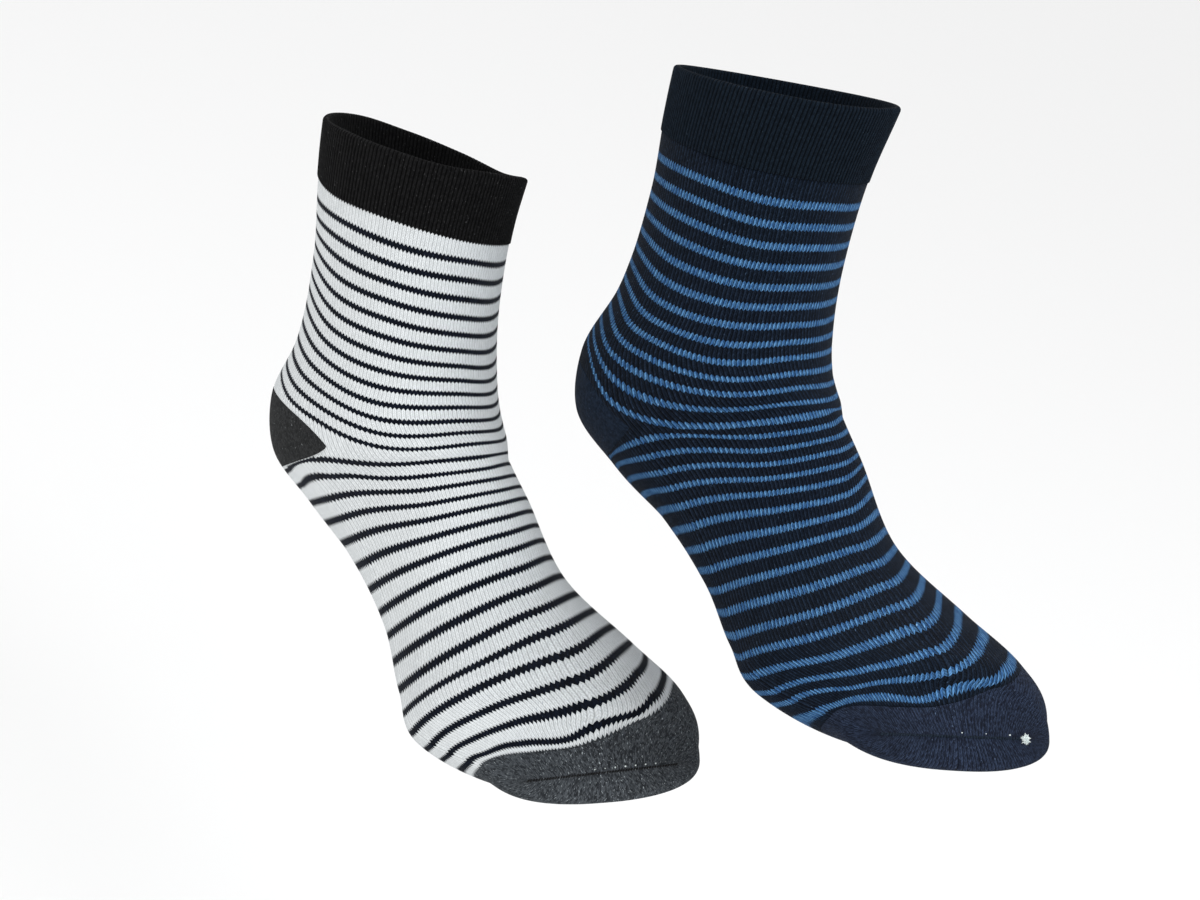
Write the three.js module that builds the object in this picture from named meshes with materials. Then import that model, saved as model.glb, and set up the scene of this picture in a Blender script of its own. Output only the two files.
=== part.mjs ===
// Pair of striped crew socks, hollow and filled out on the form of a right foot.
// Millimetres, +Z up, toes towards -Y. The origin is midway between the two cuff openings.

import * as THREE from 'three';
import { mergeVertices } from 'three/addons/utils/BufferGeometryUtils.js';

// Driving sizes
const WALL = 2.0;          // thickness of the knitted wall
const SEAM_GAP = 0.3;      // clearance between two pieces along the cloth
const RIBS = 100;          // ribs round one cuff
const RIB_RELIEF = 0.5;    // height of a rib over the valley beside it
const HEM_INSET = 0.6;     // how far the rounded cuff edge draws in
const HEM_DEPTH = 1.2;     // height of that rounded edge
const TOE_CLOSE = 1.06;    // wall thicknesses between the toe seam and the hollow

// Mesh density
const COLUMNS = 40;        // wale lines round a sock
const RIB_STEPS = 2;       // outer points in one rib
const CUFF_ROWS = 3;
const LEG_ROWS = 9;
const FOOT_ROWS = 14;
const HEEL_ROWS = 6;
const TOE_ROWS = 9;
const TOE_CROWDING = 1.2;  // above 1 the toe rows lie closer near the seam
const MERIDIAN_STEPS = 360;

const DEGREE = Math.PI / 180;
const COLUMN_STEP = (2 * Math.PI) / COLUMNS;

// Sections of the sock from above the cuff down the leg, round the heel and along the foot.
// front and back are the ends of a section in side view: x forward of the heel, z above the sole.
// On the foot, front is the instep and back is the sole. half is half the width and shift moves
// the middle towards the inner side. widest tells how far up the section its widest place is.
// The powers square off the sole half and the instep half, and slant moves the inner side forward.
const SECTION_COLUMNS = [
  'frontX', 'frontZ', 'backX', 'backZ', 'half', 'shift', 'widest', 'backPower', 'frontPower', 'slant',
];
const SECTION_ROWS = [
  [84.5, 199, -19.5, 170.5, 38.5, -2, 0.50, 2.0, 2.0, 0],    // above the cuff
  [83.5, 187, -17, 158.5, 38.5, -2, 0.50, 2.0, 2.0, 0],      // cuff top
  [81, 159.5, -14, 142, 37.5, -1.5, 0.50, 2.0, 2.0, 0],      // cuff foot
  [84, 123, -8, 112.5, 36.5, -0.5, 0.50, 2.0, 2.0, 0],       // leg
  [89.5, 95.5, -7, 68, 39, 0.5, 0.50, 2.0, 2.1, 0],          // ankle
  [97, 85, -13.5, 34.5, 42.5, 0.5, 0.48, 2.1, 2.1, 0],       // top of the heel
  [109.5, 79, -5.5, 8, 40.5, 2, 0.45, 2.2, 2.1, 0],          // heel
  [114, 76.5, 28, 0, 34.5, 4, 0.40, 2.4, 2.1, 0],            // under the heel
  [129, 67, 72, 1, 34.5, 5, 0.38, 2.6, 2.1, 0],              // arch
  [155, 47, 120, 0, 38.5, 5, 0.36, 2.8, 2.2, 0],             // middle of the foot
  [188, 40.5, 168, -1, 51.5, 4, 0.36, 2.8, 2.2, 2.5],        // ball
  [211.5, 38.5, 205, 0, 57.5, 1.5, 0.38, 2.8, 2.3, 5.5],     // root of the toes
  [229, 34, 236.5, 4.5, 47, 2.5, 0.42, 2.5, 2.4, 6],         // toes
  [235.5, 26.5, 251, 12, 39, 1, 0.48, 2.3, 2.3, 4.5],        // front of the toes
  [246.5, 20, 246.5, 20, 32, 0, 0.50, 2.2, 2.2, 2.5],        // toe seam
];

// Angles round a section: 0 at the back or sole, 90 on the inner side, 180 at the front or instep.
// Each line has a value every 30 degrees from 0. Rims and cuff feet are stations along the middles
// of the sections, and the depth of the toe cap is the length of cloth back from the toe seam.
const LINE_STEP = 30;
const TOE_DEPTH = [46, 48, 52, 54, 48, 24, 12.5, 11.5, 14, 19.5, 29, 39];

// What differs from one sock to the other, with its place and turns in degrees
const SOCKS = [
  {
    name: 'white',
    place: [-32.9, 83.4, -210.9],
    turns: { yaw: 1.4, tip: -3.8, pitch: 1.1 },
    rim: [7, 13, 19, 22, 18.5, 14.5, 10.8, 8.4, 5, 2.8, 3, 4],
    cuffFoot: [32, 38, 44, 46.5, 44, 39.5, 36, 32.8, 30.8, 30.6, 29.5, 30],
    heel: { cornerAngle: 108, corner: 141, front: 153.5, rise: 20, drop: 10 },
    cuffColour: 0x1b1b1d,
    bodyColour: 0xe3e8ea,
    heelColour: 0x37383b,
    toeColour: 0x333437,
  },
  {
    name: 'navy',
    place: [40.9, -17.2, -136.8],
    turns: { yaw: -1.9, tip: 2.5, pitch: -1.3 },
    rim: [9.5, 9.5, 9.5, 9.5, 9.8, 10.6, 12, 12.6, 12.2, 11.3, 10.1, 9.6],
    cuffFoot: [39.5, 39, 38.5, 38, 37.5, 37, 37, 38, 39, 39, 39.5, 39.5],
    heel: { cornerAngle: 90, corner: 155.6, front: 176, rise: 28, drop: 6.5 },
    cuffColour: 0x151a26,
    bodyColour: 0x1c2434,
    heelColour: 0x1c2130,
    toeColour: 0x232a3c,
  },
];

// Rounding of the heel pocket's outline: across its width and towards its corners
const POCKET_ACROSS = 5;
const POCKET_ALONG = 1.35;

// Sections as numbers with named columns, and the station of each along the section middles

const outerSections = SECTION_ROWS.map((row) => Float64Array.from(row));

function column(name) {
  return SECTION_COLUMNS.indexOf(name);
}

const FRONT_X = column('frontX');
const FRONT_Z = column('frontZ');
const BACK_X = column('backX');
const BACK_Z = column('backZ');
const HALF = column('half');

function stationsOf(sections) {
  const stations = [0];
  for (let i = 1; i < sections.length; i += 1) {
    const a = sections[i - 1];
    const b = sections[i];
    const dx = (b[FRONT_X] + b[BACK_X] - a[FRONT_X] - a[BACK_X]) / 2;
    const dz = (b[FRONT_Z] + b[BACK_Z] - a[FRONT_Z] - a[BACK_Z]) / 2;
    stations.push(stations[i - 1] + Math.hypot(dx, dz));
  }
  return stations;
}

const stations = stationsOf(outerSections);
const END = stations[stations.length - 1];

// Slope of one column at each section, weighted by the two spans beside it
function slopesOf(sections, index) {
  const last = sections.length - 1;
  const rise = [];
  for (let i = 0; i < last; i += 1) {
    rise.push((sections[i + 1][index] - sections[i][index]) / (stations[i + 1] - stations[i]));
  }
  return sections.map((_, i) => {
    if (i === 0) return rise[0];
    if (i === last) return rise[last - 1];
    const before = stations[i] - stations[i - 1];
    const after = stations[i + 1] - stations[i];
    return (rise[i - 1] * after + rise[i] * before) / (before + after);
  });
}

// The hollow: the same sections drawn in by the wall, square to the side view's two outlines
function hollowSections(sections) {
  const slope = SECTION_COLUMNS.map((_, index) => slopesOf(sections, index));
  const last = sections.length - 1;
  return sections.map((section, i) => {
    const inner = Float64Array.from(section);
    inner[HALF] = section[HALF] - WALL * Math.hypot(1, slope[HALF][i]);
    if (i === last) {
      const before = sections[last - 1];
      const back = new THREE.Vector2(
        (before[FRONT_X] + before[BACK_X]) / 2 - section[FRONT_X],
        (before[FRONT_Z] + before[BACK_Z]) / 2 - section[FRONT_Z],
      );
      back.setLength(WALL * TOE_CLOSE);
      inner[FRONT_X] += back.x;
      inner[BACK_X] += back.x;
      inner[FRONT_Z] += back.y;
      inner[BACK_Z] += back.y;
      return inner;
    }
    const across = new THREE.Vector2(section[FRONT_X] - section[BACK_X], section[FRONT_Z] - section[BACK_Z]);
    for (const [x, z, side] of [[FRONT_X, FRONT_Z, 1], [BACK_X, BACK_Z, -1]]) {
      const inward = new THREE.Vector2(-slope[z][i], slope[x][i]).normalize();
      if (inward.dot(across) * side > 0) inward.negate();
      inner[x] += inward.x * WALL;
      inner[z] += inward.y * WALL;
    }
    return inner;
  });
}

// A form: smooth curves through the sections, and the points of its surface
class Form {
  constructor(sections) {
    this.sections = sections;
    this.slopes = SECTION_COLUMNS.map((_, index) => slopesOf(sections, index));
  }

  section(station) {
    let i = 0;
    while (i < stations.length - 2 && station > stations[i + 1]) i += 1;
    const span = stations[i + 1] - stations[i];
    const t = (station - stations[i]) / span;
    const a = 2 * t ** 3 - 3 * t ** 2 + 1;
    const b = (t ** 3 - 2 * t ** 2 + t) * span;
    const c = 3 * t ** 2 - 2 * t ** 3;
    const d = (t ** 3 - t ** 2) * span;
    const result = {};
    SECTION_COLUMNS.forEach((name, index) => {
      const slope = this.slopes[index];
      result[name] = a * this.sections[i][index] + b * slope[i] + c * this.sections[i + 1][index] + d * slope[i + 1];
    });
    return result;
  }

  point(station, angle) {
    const s = this.section(station);
    const cosine = Math.cos(angle);
    const sine = Math.sin(angle);
    const power = 2 / (cosine > 0 ? s.backPower : s.frontPower);
    const along = Math.abs(cosine) ** power;
    const side = Math.sign(sine) * Math.abs(sine) ** power;
    const up = cosine > 0 ? s.widest * (1 - along) : s.widest + (1 - s.widest) * along;
    const forward = s.backX + (s.frontX - s.backX) * up + s.slant * side;
    return new THREE.Vector3(s.shift + s.half * side, -forward, s.backZ + (s.frontZ - s.backZ) * up);
  }
}

const outer = new Form(outerSections);
const hollow = new Form(hollowSections(outerSections));

// Length of cloth along one wale line, and the station at a given length
class Wale {
  constructor(angle) {
    this.lengths = [0];
    let before = outer.point(0, angle);
    for (let i = 1; i <= MERIDIAN_STEPS; i += 1) {
      const next = outer.point((END * i) / MERIDIAN_STEPS, angle);
      this.lengths.push(this.lengths[i - 1] + next.distanceTo(before));
      before = next;
    }
  }

  length(station) {
    const place = THREE.MathUtils.clamp((station / END) * MERIDIAN_STEPS, 0, MERIDIAN_STEPS);
    const i = Math.min(Math.floor(place), MERIDIAN_STEPS - 1);
    return THREE.MathUtils.lerp(this.lengths[i], this.lengths[i + 1], place - i);
  }

  station(length) {
    let i = 0;
    while (i < MERIDIAN_STEPS - 1 && length > this.lengths[i + 1]) i += 1;
    const share = (length - this.lengths[i]) / (this.lengths[i + 1] - this.lengths[i]);
    return (END * (i + share)) / MERIDIAN_STEPS;
  }
}

const wales = new Map();

function waleAt(angle) {
  if (!wales.has(angle)) wales.set(angle, new Wale(angle));
  return wales.get(angle);
}

// Smooth closed curve through values that stand every LINE_STEP degrees
function aroundLine(values, angle) {
  const place = ((angle / DEGREE) / LINE_STEP + values.length * 2) % values.length;
  const i = Math.floor(place);
  const t = place - i;
  const at = (k) => values[(i + k + values.length) % values.length];
  const m0 = (at(1) - at(-1)) / 2;
  const m1 = (at(2) - at(0)) / 2;
  return (2 * t ** 3 - 3 * t ** 2 + 1) * at(0) + (t ** 3 - 2 * t ** 2 + t) * m0
    + (3 * t ** 2 - 2 * t ** 3) * at(1) + (t ** 3 - t ** 2) * m1;
}

// Angle from the back, the same on the inner and the outer side
function fromBack(angle) {
  return Math.abs(Math.atan2(Math.sin(angle), Math.cos(angle)));
}

// The line where leg and foot meet: a front stretch, and the pocket's two edges round the back
function heelLine(heel, angle, edge) {
  const corner = heel.cornerAngle * DEGREE;
  const away = fromBack(angle);
  if (away >= corner) {
    const share = (away - corner) / (Math.PI - corner);
    return heel.corner + (heel.front - heel.corner) * Math.sin((share * Math.PI) / 2);
  }
  const reach = (1 - (away / corner) ** POCKET_ACROSS) ** (1 / POCKET_ALONG);
  return edge === 'upper' ? heel.corner - heel.rise * reach : heel.corner + heel.drop * reach;
}

// The line where foot and toe cap meet
function toeLine(angle) {
  const wale = waleAt(angle);
  return wale.station(wale.length(END) - aroundLine(TOE_DEPTH, angle));
}

// Moves an edge along the cloth by a distance that is measured square to the edge, outside and
// inside the wall, where the edge runs straight from one wale line to the next
function movedEdge(line, angle, distance) {
  const short = 0.01;
  const station = line(angle);
  let clearance = Infinity;
  for (const form of [outer, hollow]) {
    const here = form.point(station, angle);
    const along = form.point(station + short, angle).sub(here).divideScalar(short);
    for (const step of [-COLUMN_STEP, COLUMN_STEP]) {
      const edge = form.point(line(angle + step), angle + step).sub(here).normalize();
      clearance = Math.min(clearance, edge.cross(along).length());
    }
  }
  return station + distance / clearance;
}

// Rows of stations from one edge to another, spaced evenly in length of cloth on each wale line
function spacedStations(angles, from, to, rows, crowding = 1) {
  const result = [];
  for (let row = 0; row <= rows; row += 1) {
    const share = 1 - (1 - row / rows) ** crowding;
    result.push(angles.map((angle) => {
      const wale = waleAt(angle);
      const start = wale.length(from(angle));
      const finish = wale.length(to(angle));
      return wale.station(THREE.MathUtils.lerp(start, finish, share));
    }));
  }
  return result;
}

function ringsOn(form, angles, rows) {
  return rows.map((row) => row.map((station, k) => form.point(station, angles[k])));
}

// Collects the triangles of one closed body
class Shell {
  constructor() {
    this.corners = [];
  }

  triangle(a, b, c) {
    this.corners.push(a, b, c);
  }

  // Band of triangles between two rows of points that may differ in number. Of two facing edges one
  // is facing, which turns its diagonals, so that the clearance between them stays even.
  band(first, second, closed, facing = false) {
    const a = closed ? [...first, first[0]] : first;
    const b = closed ? [...second, second[0]] : second;
    let i = 0;
    let j = 0;
    while (i < a.length - 1 || j < b.length - 1) {
      const nextA = (i + 1) / (a.length - 1);
      const nextB = (j + 1) / (b.length - 1);
      const firstLeads = facing ? nextA < nextB : nextA <= nextB;
      if (j === b.length - 1 || (i < a.length - 1 && firstLeads)) {
        this.triangle(a[i], a[i + 1], b[j]);
        i += 1;
      } else {
        this.triangle(a[i], b[j + 1], b[j]);
        j += 1;
      }
    }
  }

  bands(rows, closed) {
    for (let i = 1; i < rows.length; i += 1) this.band(rows[i - 1], rows[i], closed);
  }

  signedVolume() {
    let sum = 0;
    const cross = new THREE.Vector3();
    for (let i = 0; i < this.corners.length; i += 3) {
      cross.crossVectors(this.corners[i + 1], this.corners[i + 2]);
      sum += this.corners[i].dot(cross);
    }
    return sum / 6;
  }

  // One closed geometry with shared corners, faces outward and no collapsed triangles
  geometry() {
    const outward = this.signedVolume() > 0;
    const positions = [];
    for (let i = 0; i < this.corners.length; i += 3) {
      const [a, b, c] = this.corners.slice(i, i + 3);
      for (const corner of outward ? [a, b, c] : [a, c, b]) positions.push(corner.x, corner.y, corner.z);
    }
    const loose = new THREE.BufferGeometry();
    loose.setAttribute('position', new THREE.Float32BufferAttribute(positions, 3));
    const merged = mergeVertices(loose, 1e-3);
    const kept = [];
    for (let i = 0; i < merged.index.count; i += 3) {
      const [a, b, c] = [0, 1, 2].map((k) => merged.index.getX(i + k));
      if (a !== b && b !== c && c !== a) kept.push(a, b, c);
    }
    merged.setIndex(kept);
    merged.computeVertexNormals();
    return merged;
  }
}

function evenAngles(count) {
  return Array.from({ length: count }, (_, k) => (k * 2 * Math.PI) / count);
}

// Ribbed cuff: ribs raised outside, plain inside, with a rounded edge at the opening
function cuffGeometry(sock) {
  const ribAngles = evenAngles(RIBS * RIB_STEPS);
  const plainAngles = evenAngles(COLUMNS);
  const rim = (angle) => aroundLine(sock.rim, angle);
  const foot = (angle) => aroundLine(sock.cuffFoot, angle);
  const footEdge = (angle) => movedEdge(foot, angle, -SEAM_GAP / 2);
  const edgeStart = (angle) => movedEdge(rim, angle, HEM_DEPTH);
  const innerRows = ringsOn(hollow, plainAngles, spacedStations(plainAngles, edgeStart, footEdge, CUFF_ROWS));
  const outerRows = spacedStations(ribAngles, edgeStart, footEdge, CUFF_ROWS).map((row) => (
    row.map((station, k) => {
      const outside = outer.point(station, ribAngles[k]);
      const away = outside.clone().sub(hollow.point(station, ribAngles[k])).normalize();
      return outside.addScaledVector(away, k % RIB_STEPS === 0 ? RIB_RELIEF : 0);
    })
  ));
  const hem = (share) => plainAngles.map((angle) => {
    const station = rim(angle);
    return outer.point(station, angle).lerp(hollow.point(station, angle), share);
  });
  const inset = HEM_INSET / WALL;
  const shell = new Shell();
  shell.bands([hem(1 - inset), hem(inset), ...outerRows], true);
  shell.bands([outerRows[CUFF_ROWS], innerRows[CUFF_ROWS]], true);
  shell.bands([...innerRows].reverse().concat([hem(1 - inset)]), true);
  return shell.geometry();
}

// Leg and foot in one tube, with the hole for the heel pocket at the back
function bodyGeometry(sock) {
  const angles = evenAngles(COLUMNS);
  const top = (angle) => movedEdge((a) => aroundLine(sock.cuffFoot, a), angle, SEAM_GAP / 2);
  const upper = (angle) => heelLine(sock.heel, angle, 'upper');
  const lower = (angle) => heelLine(sock.heel, angle, 'lower');
  const end = (angle) => movedEdge(toeLine, angle, -SEAM_GAP / 2);
  const legRows = spacedStations(angles, top, upper, LEG_ROWS);
  const footRows = spacedStations(angles, lower, end, FOOT_ROWS);
  const legOut = ringsOn(outer, angles, legRows);
  const legIn = ringsOn(hollow, angles, legRows);
  const footOut = ringsOn(outer, angles, footRows);
  const footIn = ringsOn(hollow, angles, footRows);
  const shell = new Shell();
  shell.band(legIn[0], legOut[0], true);
  shell.bands(legOut, true);
  shell.bands(footOut, true);
  shell.band(footOut[FOOT_ROWS], footIn[FOOT_ROWS], true);
  shell.bands([...footIn].reverse(), true);
  shell.bands([...legIn].reverse(), true);
  const pocketSteps = Math.round((sock.heel.cornerAngle * DEGREE) / COLUMN_STEP);
  const round = [];
  for (let k = -pocketSteps; k <= pocketSteps; k += 1) round.push((k + COLUMNS) % COLUMNS);
  const pick = (ring) => round.map((k) => ring[k]);
  shell.band(pick(legOut[LEG_ROWS]), pick(legIn[LEG_ROWS]), false);
  shell.band(pick(footIn[0]), pick(footOut[0]), false);
  return shell.geometry();
}

// Heel pocket: a patch that narrows to a point inside each corner of its hole
function heelGeometry(sock) {
  const { heel } = sock;
  const upperLine = (angle) => heelLine(heel, angle, 'upper');
  const lowerLine = (angle) => heelLine(heel, angle, 'lower');
  const upper = (angle) => movedEdge(upperLine, angle, SEAM_GAP);
  const lower = (angle) => movedEdge(lowerLine, angle, -SEAM_GAP);
  const steps = Math.round((heel.cornerAngle * DEGREE) / COLUMN_STEP) - 1;
  const last = steps * COLUMN_STEP;
  const share = (lower(last) - upper(last)) / (lowerLine(last) - upperLine(last));
  const tipStation = upper(last) + (heel.corner - upperLine(last)) * share;
  const angles = [-last - COLUMN_STEP * share];
  for (let k = -steps; k <= steps; k += 1) angles.push(k * COLUMN_STEP);
  angles.push(last + COLUMN_STEP * share);
  const rows = spacedStations(angles, upper, lower, HEEL_ROWS);
  for (const row of rows) {
    row[0] = tipStation;
    row[angles.length - 1] = tipStation;
  }
  const outside = ringsOn(outer, angles, rows);
  const inside = ringsOn(hollow, angles, rows);
  const shell = new Shell();
  shell.bands(outside, false);
  shell.band(outside[HEEL_ROWS], inside[HEEL_ROWS], false, true);
  shell.bands([...inside].reverse(), false);
  shell.band(inside[0], outside[0], false, true);
  return shell.geometry();
}

// Toe cap: open towards the foot and closed along the straight toe seam
function toeGeometry() {
  const angles = evenAngles(COLUMNS);
  const start = (angle) => movedEdge(toeLine, angle, SEAM_GAP / 2);
  const rows = spacedStations(angles, start, () => END, TOE_ROWS, TOE_CROWDING);
  const outside = ringsOn(outer, angles, rows);
  const inside = ringsOn(hollow, angles, rows);
  const shell = new Shell();
  shell.band(inside[0], outside[0], true, true);
  shell.bands(outside, true);
  shell.bands([...inside].reverse(), true);
  return shell.geometry();
}

function knitMaterial(colour) {
  return new THREE.MeshStandardMaterial({ color: colour, roughness: 0.92, metalness: 0 });
}

function makeSock(sock) {
  const group = new THREE.Group();
  const pieces = [
    ['cuff', cuffGeometry(sock), sock.cuffColour],
    ['body', bodyGeometry(sock), sock.bodyColour],
    ['heel', heelGeometry(sock), sock.heelColour],
    ['toe', toeGeometry(), sock.toeColour],
  ];
  for (const [piece, geometry, colour] of pieces) {
    const mesh = new THREE.Mesh(geometry, knitMaterial(colour));
    mesh.name = `${sock.name}_${piece}`;
    group.add(mesh);
  }
  group.position.set(...sock.place);
  const { yaw, tip, pitch } = sock.turns;
  group.rotation.set(pitch * DEGREE, tip * DEGREE, yaw * DEGREE, 'ZYX');
  return group;
}

const pair = new THREE.Group();
for (const sock of SOCKS) pair.add(makeSock(sock));

export default pair;
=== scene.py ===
"""Pair of striped crew socks, hollow and filled out as if worn.

Each sock is knitted in four pieces that meet edge to edge: ribbed cuff, leg and foot, heel pocket
and toe cap. A linked seam closes the toe. Lengths are in metres. The sizes of the form are written
in millimetres and brought to metres by MM. +Z is up and the toes point towards -Y.
"""
import logging
import math
from dataclasses import dataclass, field
from enum import Enum

import bmesh
import bpy
import numpy as np
from mathutils import Euler, Matrix, Vector


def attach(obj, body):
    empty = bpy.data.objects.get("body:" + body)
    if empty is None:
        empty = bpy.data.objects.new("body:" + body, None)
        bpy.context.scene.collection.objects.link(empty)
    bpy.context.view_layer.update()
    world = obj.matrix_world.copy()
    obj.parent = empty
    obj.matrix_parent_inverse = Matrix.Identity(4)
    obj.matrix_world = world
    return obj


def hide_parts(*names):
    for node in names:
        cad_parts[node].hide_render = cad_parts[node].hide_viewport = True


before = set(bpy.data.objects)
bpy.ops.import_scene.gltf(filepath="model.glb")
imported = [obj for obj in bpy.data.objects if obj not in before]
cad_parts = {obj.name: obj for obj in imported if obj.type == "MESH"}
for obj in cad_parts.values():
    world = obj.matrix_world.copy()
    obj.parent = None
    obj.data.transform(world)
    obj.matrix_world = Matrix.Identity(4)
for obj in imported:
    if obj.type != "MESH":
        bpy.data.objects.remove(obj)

LOG = logging.getLogger("socks")
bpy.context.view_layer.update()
BODY = "root"
MM = 0.001

# Sizes of the knit and of the form, the same on both socks
WALL = 2.0 * MM
WALES = 160
INNER_COLUMNS = 120
COLUMN_STEP = 4
COLUMNS = INNER_COLUMNS * COLUMN_STEP
COURSES_PER_STRIPE = 7
JOIN_GAP = 0.03 * MM
TOE_CLOSE = 1.06
LINE_STEP = 30.0
LENGTH_STEPS = 360
NUMBER_STEPS = 480
POCKET_ACROSS = 5.0
POCKET_ALONG = 1.35
FIRST_COURSE = -1.0
HEEL_STRIPE = 13.5
STRIPE_EDGE = 0.2
CORNER_BLEND = 14.0
FOLLOW_TOE = (27, 29.5)
MERGE_STEP = 0.002 * MM
ANGLE_SLACK = 1e-9

# Sections of the sock from above the cuff down the leg, round the heel and along the foot, in
# millimetres. front and back are the ends of a section in side view: x forward of the heel, z above
# the sole. half is half the width, shift moves the middle towards the inner side, widest tells how
# far up the section its widest place is, and the powers square off its sole and instep halves.
SECTION_COLUMNS = (
    "front_x", "front_z", "back_x", "back_z", "half", "shift", "widest", "back_power", "front_power", "slant",
)
SECTION_ROWS = (
    (84.5, 199, -19.5, 170.5, 38.5, -2, 0.50, 2.0, 2.0, 0),  # above the cuff
    (83.5, 187, -17, 158.5, 38.5, -2, 0.50, 2.0, 2.0, 0),  # cuff top
    (81, 159.5, -14, 142, 37.5, -1.5, 0.50, 2.0, 2.0, 0),  # cuff foot
    (84, 123, -8, 112.5, 36.5, -0.5, 0.50, 2.0, 2.0, 0),  # leg
    (89.5, 95.5, -7, 68, 39, 0.5, 0.50, 2.0, 2.1, 0),  # ankle
    (97, 85, -13.5, 34.5, 42.5, 0.5, 0.48, 2.1, 2.1, 0),  # top of the heel
    (109.5, 79, -5.5, 8, 40.5, 2, 0.45, 2.2, 2.1, 0),  # heel
    (114, 76.5, 28, 0, 34.5, 4, 0.40, 2.4, 2.1, 0),  # under the heel
    (129, 67, 72, 1, 34.5, 5, 0.38, 2.6, 2.1, 0),  # arch
    (155, 47, 120, 0, 38.5, 5, 0.36, 2.8, 2.2, 0),  # middle of the foot
    (188, 40.5, 168, -1, 51.5, 4, 0.36, 2.8, 2.2, 2.5),  # ball
    (211.5, 38.5, 205, 0, 57.5, 1.5, 0.38, 2.8, 2.3, 5.5),  # root of the toes
    (229, 34, 236.5, 4.5, 47, 2.5, 0.42, 2.5, 2.4, 6),  # toes
    (235.5, 26.5, 251, 12, 39, 1, 0.48, 2.3, 2.3, 4.5),  # front of the toes
    (246.5, 20, 246.5, 20, 32, 0, 0.50, 2.2, 2.2, 2.5),  # toe seam
)
SCALED_COLUMNS = ("front_x", "front_z", "back_x", "back_z", "half", "shift", "slant")

# Length of cloth from the toe cap's edge to the toe seam, every LINE_STEP degrees from the sole
TOE_DEPTH = (46, 48, 52, 54, 48, 24, 12.5, 11.5, 14, 19.5, 29, 39)

# View of the photograph, and the studio
CAMERA_AT = (-0.5753, -0.7935, 0.3305)
CAMERA_AIM = (0.5590, 0.7080, -0.4314)
CAMERA_UP = (0.0090, 0.5150, 0.8570)
CAMERA_LENS_MM = 78.0
SENSOR_MM = 36.0
FLOOR_Z = -0.52
FLOOR_HALF = 6.0
VIEW_TRANSFORM = "Standard"

# Angles at which the stripes' stations are given, in degrees
STRIPE_ANGLES = {
    "back": 0, "inner_side": 75, "inner_front": 150, "front": 180, "outer_front": 220, "outer_side": 260,
    "outer_back": 290,
}


class Edge(Enum):
    """The two edges of the heel pocket's hole."""

    UPPER = "upper"
    LOWER = "lower"


def srgb(red: int, green: int, blue: int) -> tuple[float, float, float]:
    """Linear colour of a colour as it looks on a screen.

    Args:
        red: Red from 0 to 255.
        green: Green from 0 to 255.
        blue: Blue from 0 to 255.

    Returns:
        The colour in linear light.
    """
    def linear(part: int) -> float:
        """Linear light of one channel."""
        share = part / 255.0
        return share / 12.92 if share <= 0.04045 else ((share + 0.055) / 1.055) ** 2.4

    return linear(red), linear(green), linear(blue)


@dataclass(frozen=True)
class Yarn:
    """One yarn: its colour, its lighter fibres and its flecks.

    Attributes:
        shade: Main colour.
        light: Colour of the lighter stitches.
        fleck: Colour of single stray fibres.
        heather: How far the stitches differ from each other, from 0 to 1.
        flecks: Share of the surface that shows stray fibres.
    """

    shade: tuple[float, float, float]
    light: tuple[float, float, float]
    fleck: tuple[float, float, float]
    heather: float = 0.5
    flecks: float = 0.02


@dataclass(frozen=True)
class KnitFinish:
    """Finish of one knitted piece.

    Attributes:
        name: Name of the material.
        slot: The record's material slot. Not used.
        ground: Yarn of the piece.
        stripe: Yarn of its stripes, if it has any.
        start: Yarn of the piece above it, which shows in the teeth of the first course.
        end: Yarn of the piece below it, which shows in the teeth of the last course.
        last_course: Number of the course at which the piece ends.
        stripe_courses: Width of a stripe, in courses.
        groove: Depth of the groove between two wales, from 0 to 1.
        groove_from: Where the groove begins, from the middle of a wale at 0 to its side at 1.
        bump: Strength of the stitch relief.
        painted_gap_shade: Strength of the shade painted into the gaps between stitches.
        painted_arm_shade: Painted shade on one arm of each stitch, how much darker it is than the other arm, as if
            turned from the light.
        sheen: Weight of the soft light on the fibres.
    """

    name: str
    slot: str
    ground: Yarn
    stripe: Yarn | None = None
    start: Yarn | None = None
    end: Yarn | None = None
    last_course: float = 206.5
    stripe_courses: float = 2.5
    groove: float = 0.75
    groove_from: float = 0.62
    bump: float = 0.6
    painted_gap_shade: float = 0.45
    painted_arm_shade: float = 0.0
    sheen: float = 0.01


CHARCOAL_RIB_YARN = Yarn(srgb(16, 16, 17), srgb(34, 34, 35), srgb(88, 88, 89), 0.7, 0.06)
MARL_YARN = Yarn(srgb(43, 46, 50), srgb(88, 93, 98), srgb(172, 180, 184), 0.9, 0.08)
HEEL_MARL_YARN = Yarn(srgb(31, 32, 33), srgb(54, 55, 56), srgb(130, 134, 136), 0.7, 0.05)
PALE_YARN = Yarn(srgb(215, 219, 221), srgb(236, 240, 242), srgb(184, 192, 200), 0.6, 0.05)
INK_YARN = Yarn(srgb(8, 12, 20), srgb(22, 29, 44), srgb(84, 94, 112), 0.6, 0.02)
NAVY_RIB_YARN = Yarn(srgb(15, 24, 34), srgb(28, 40, 53), srgb(70, 86, 102), 0.6, 0.03)
NAVY_YARN = Yarn(srgb(16, 25, 38), srgb(32, 45, 63), srgb(72, 92, 118), 0.7, 0.04)
NAVY_TOE_YARN = Yarn(srgb(27, 33, 48), srgb(54, 66, 90), srgb(96, 114, 142), 0.8, 0.05)
BLUE_YARN = Yarn(srgb(54, 98, 151), srgb(96, 148, 198), srgb(140, 184, 222), 0.9, 0.05)
THREAD_YARN = Yarn(srgb(196, 206, 206), srgb(232, 238, 236), srgb(240, 244, 242), 0.6, 0.1)


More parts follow.
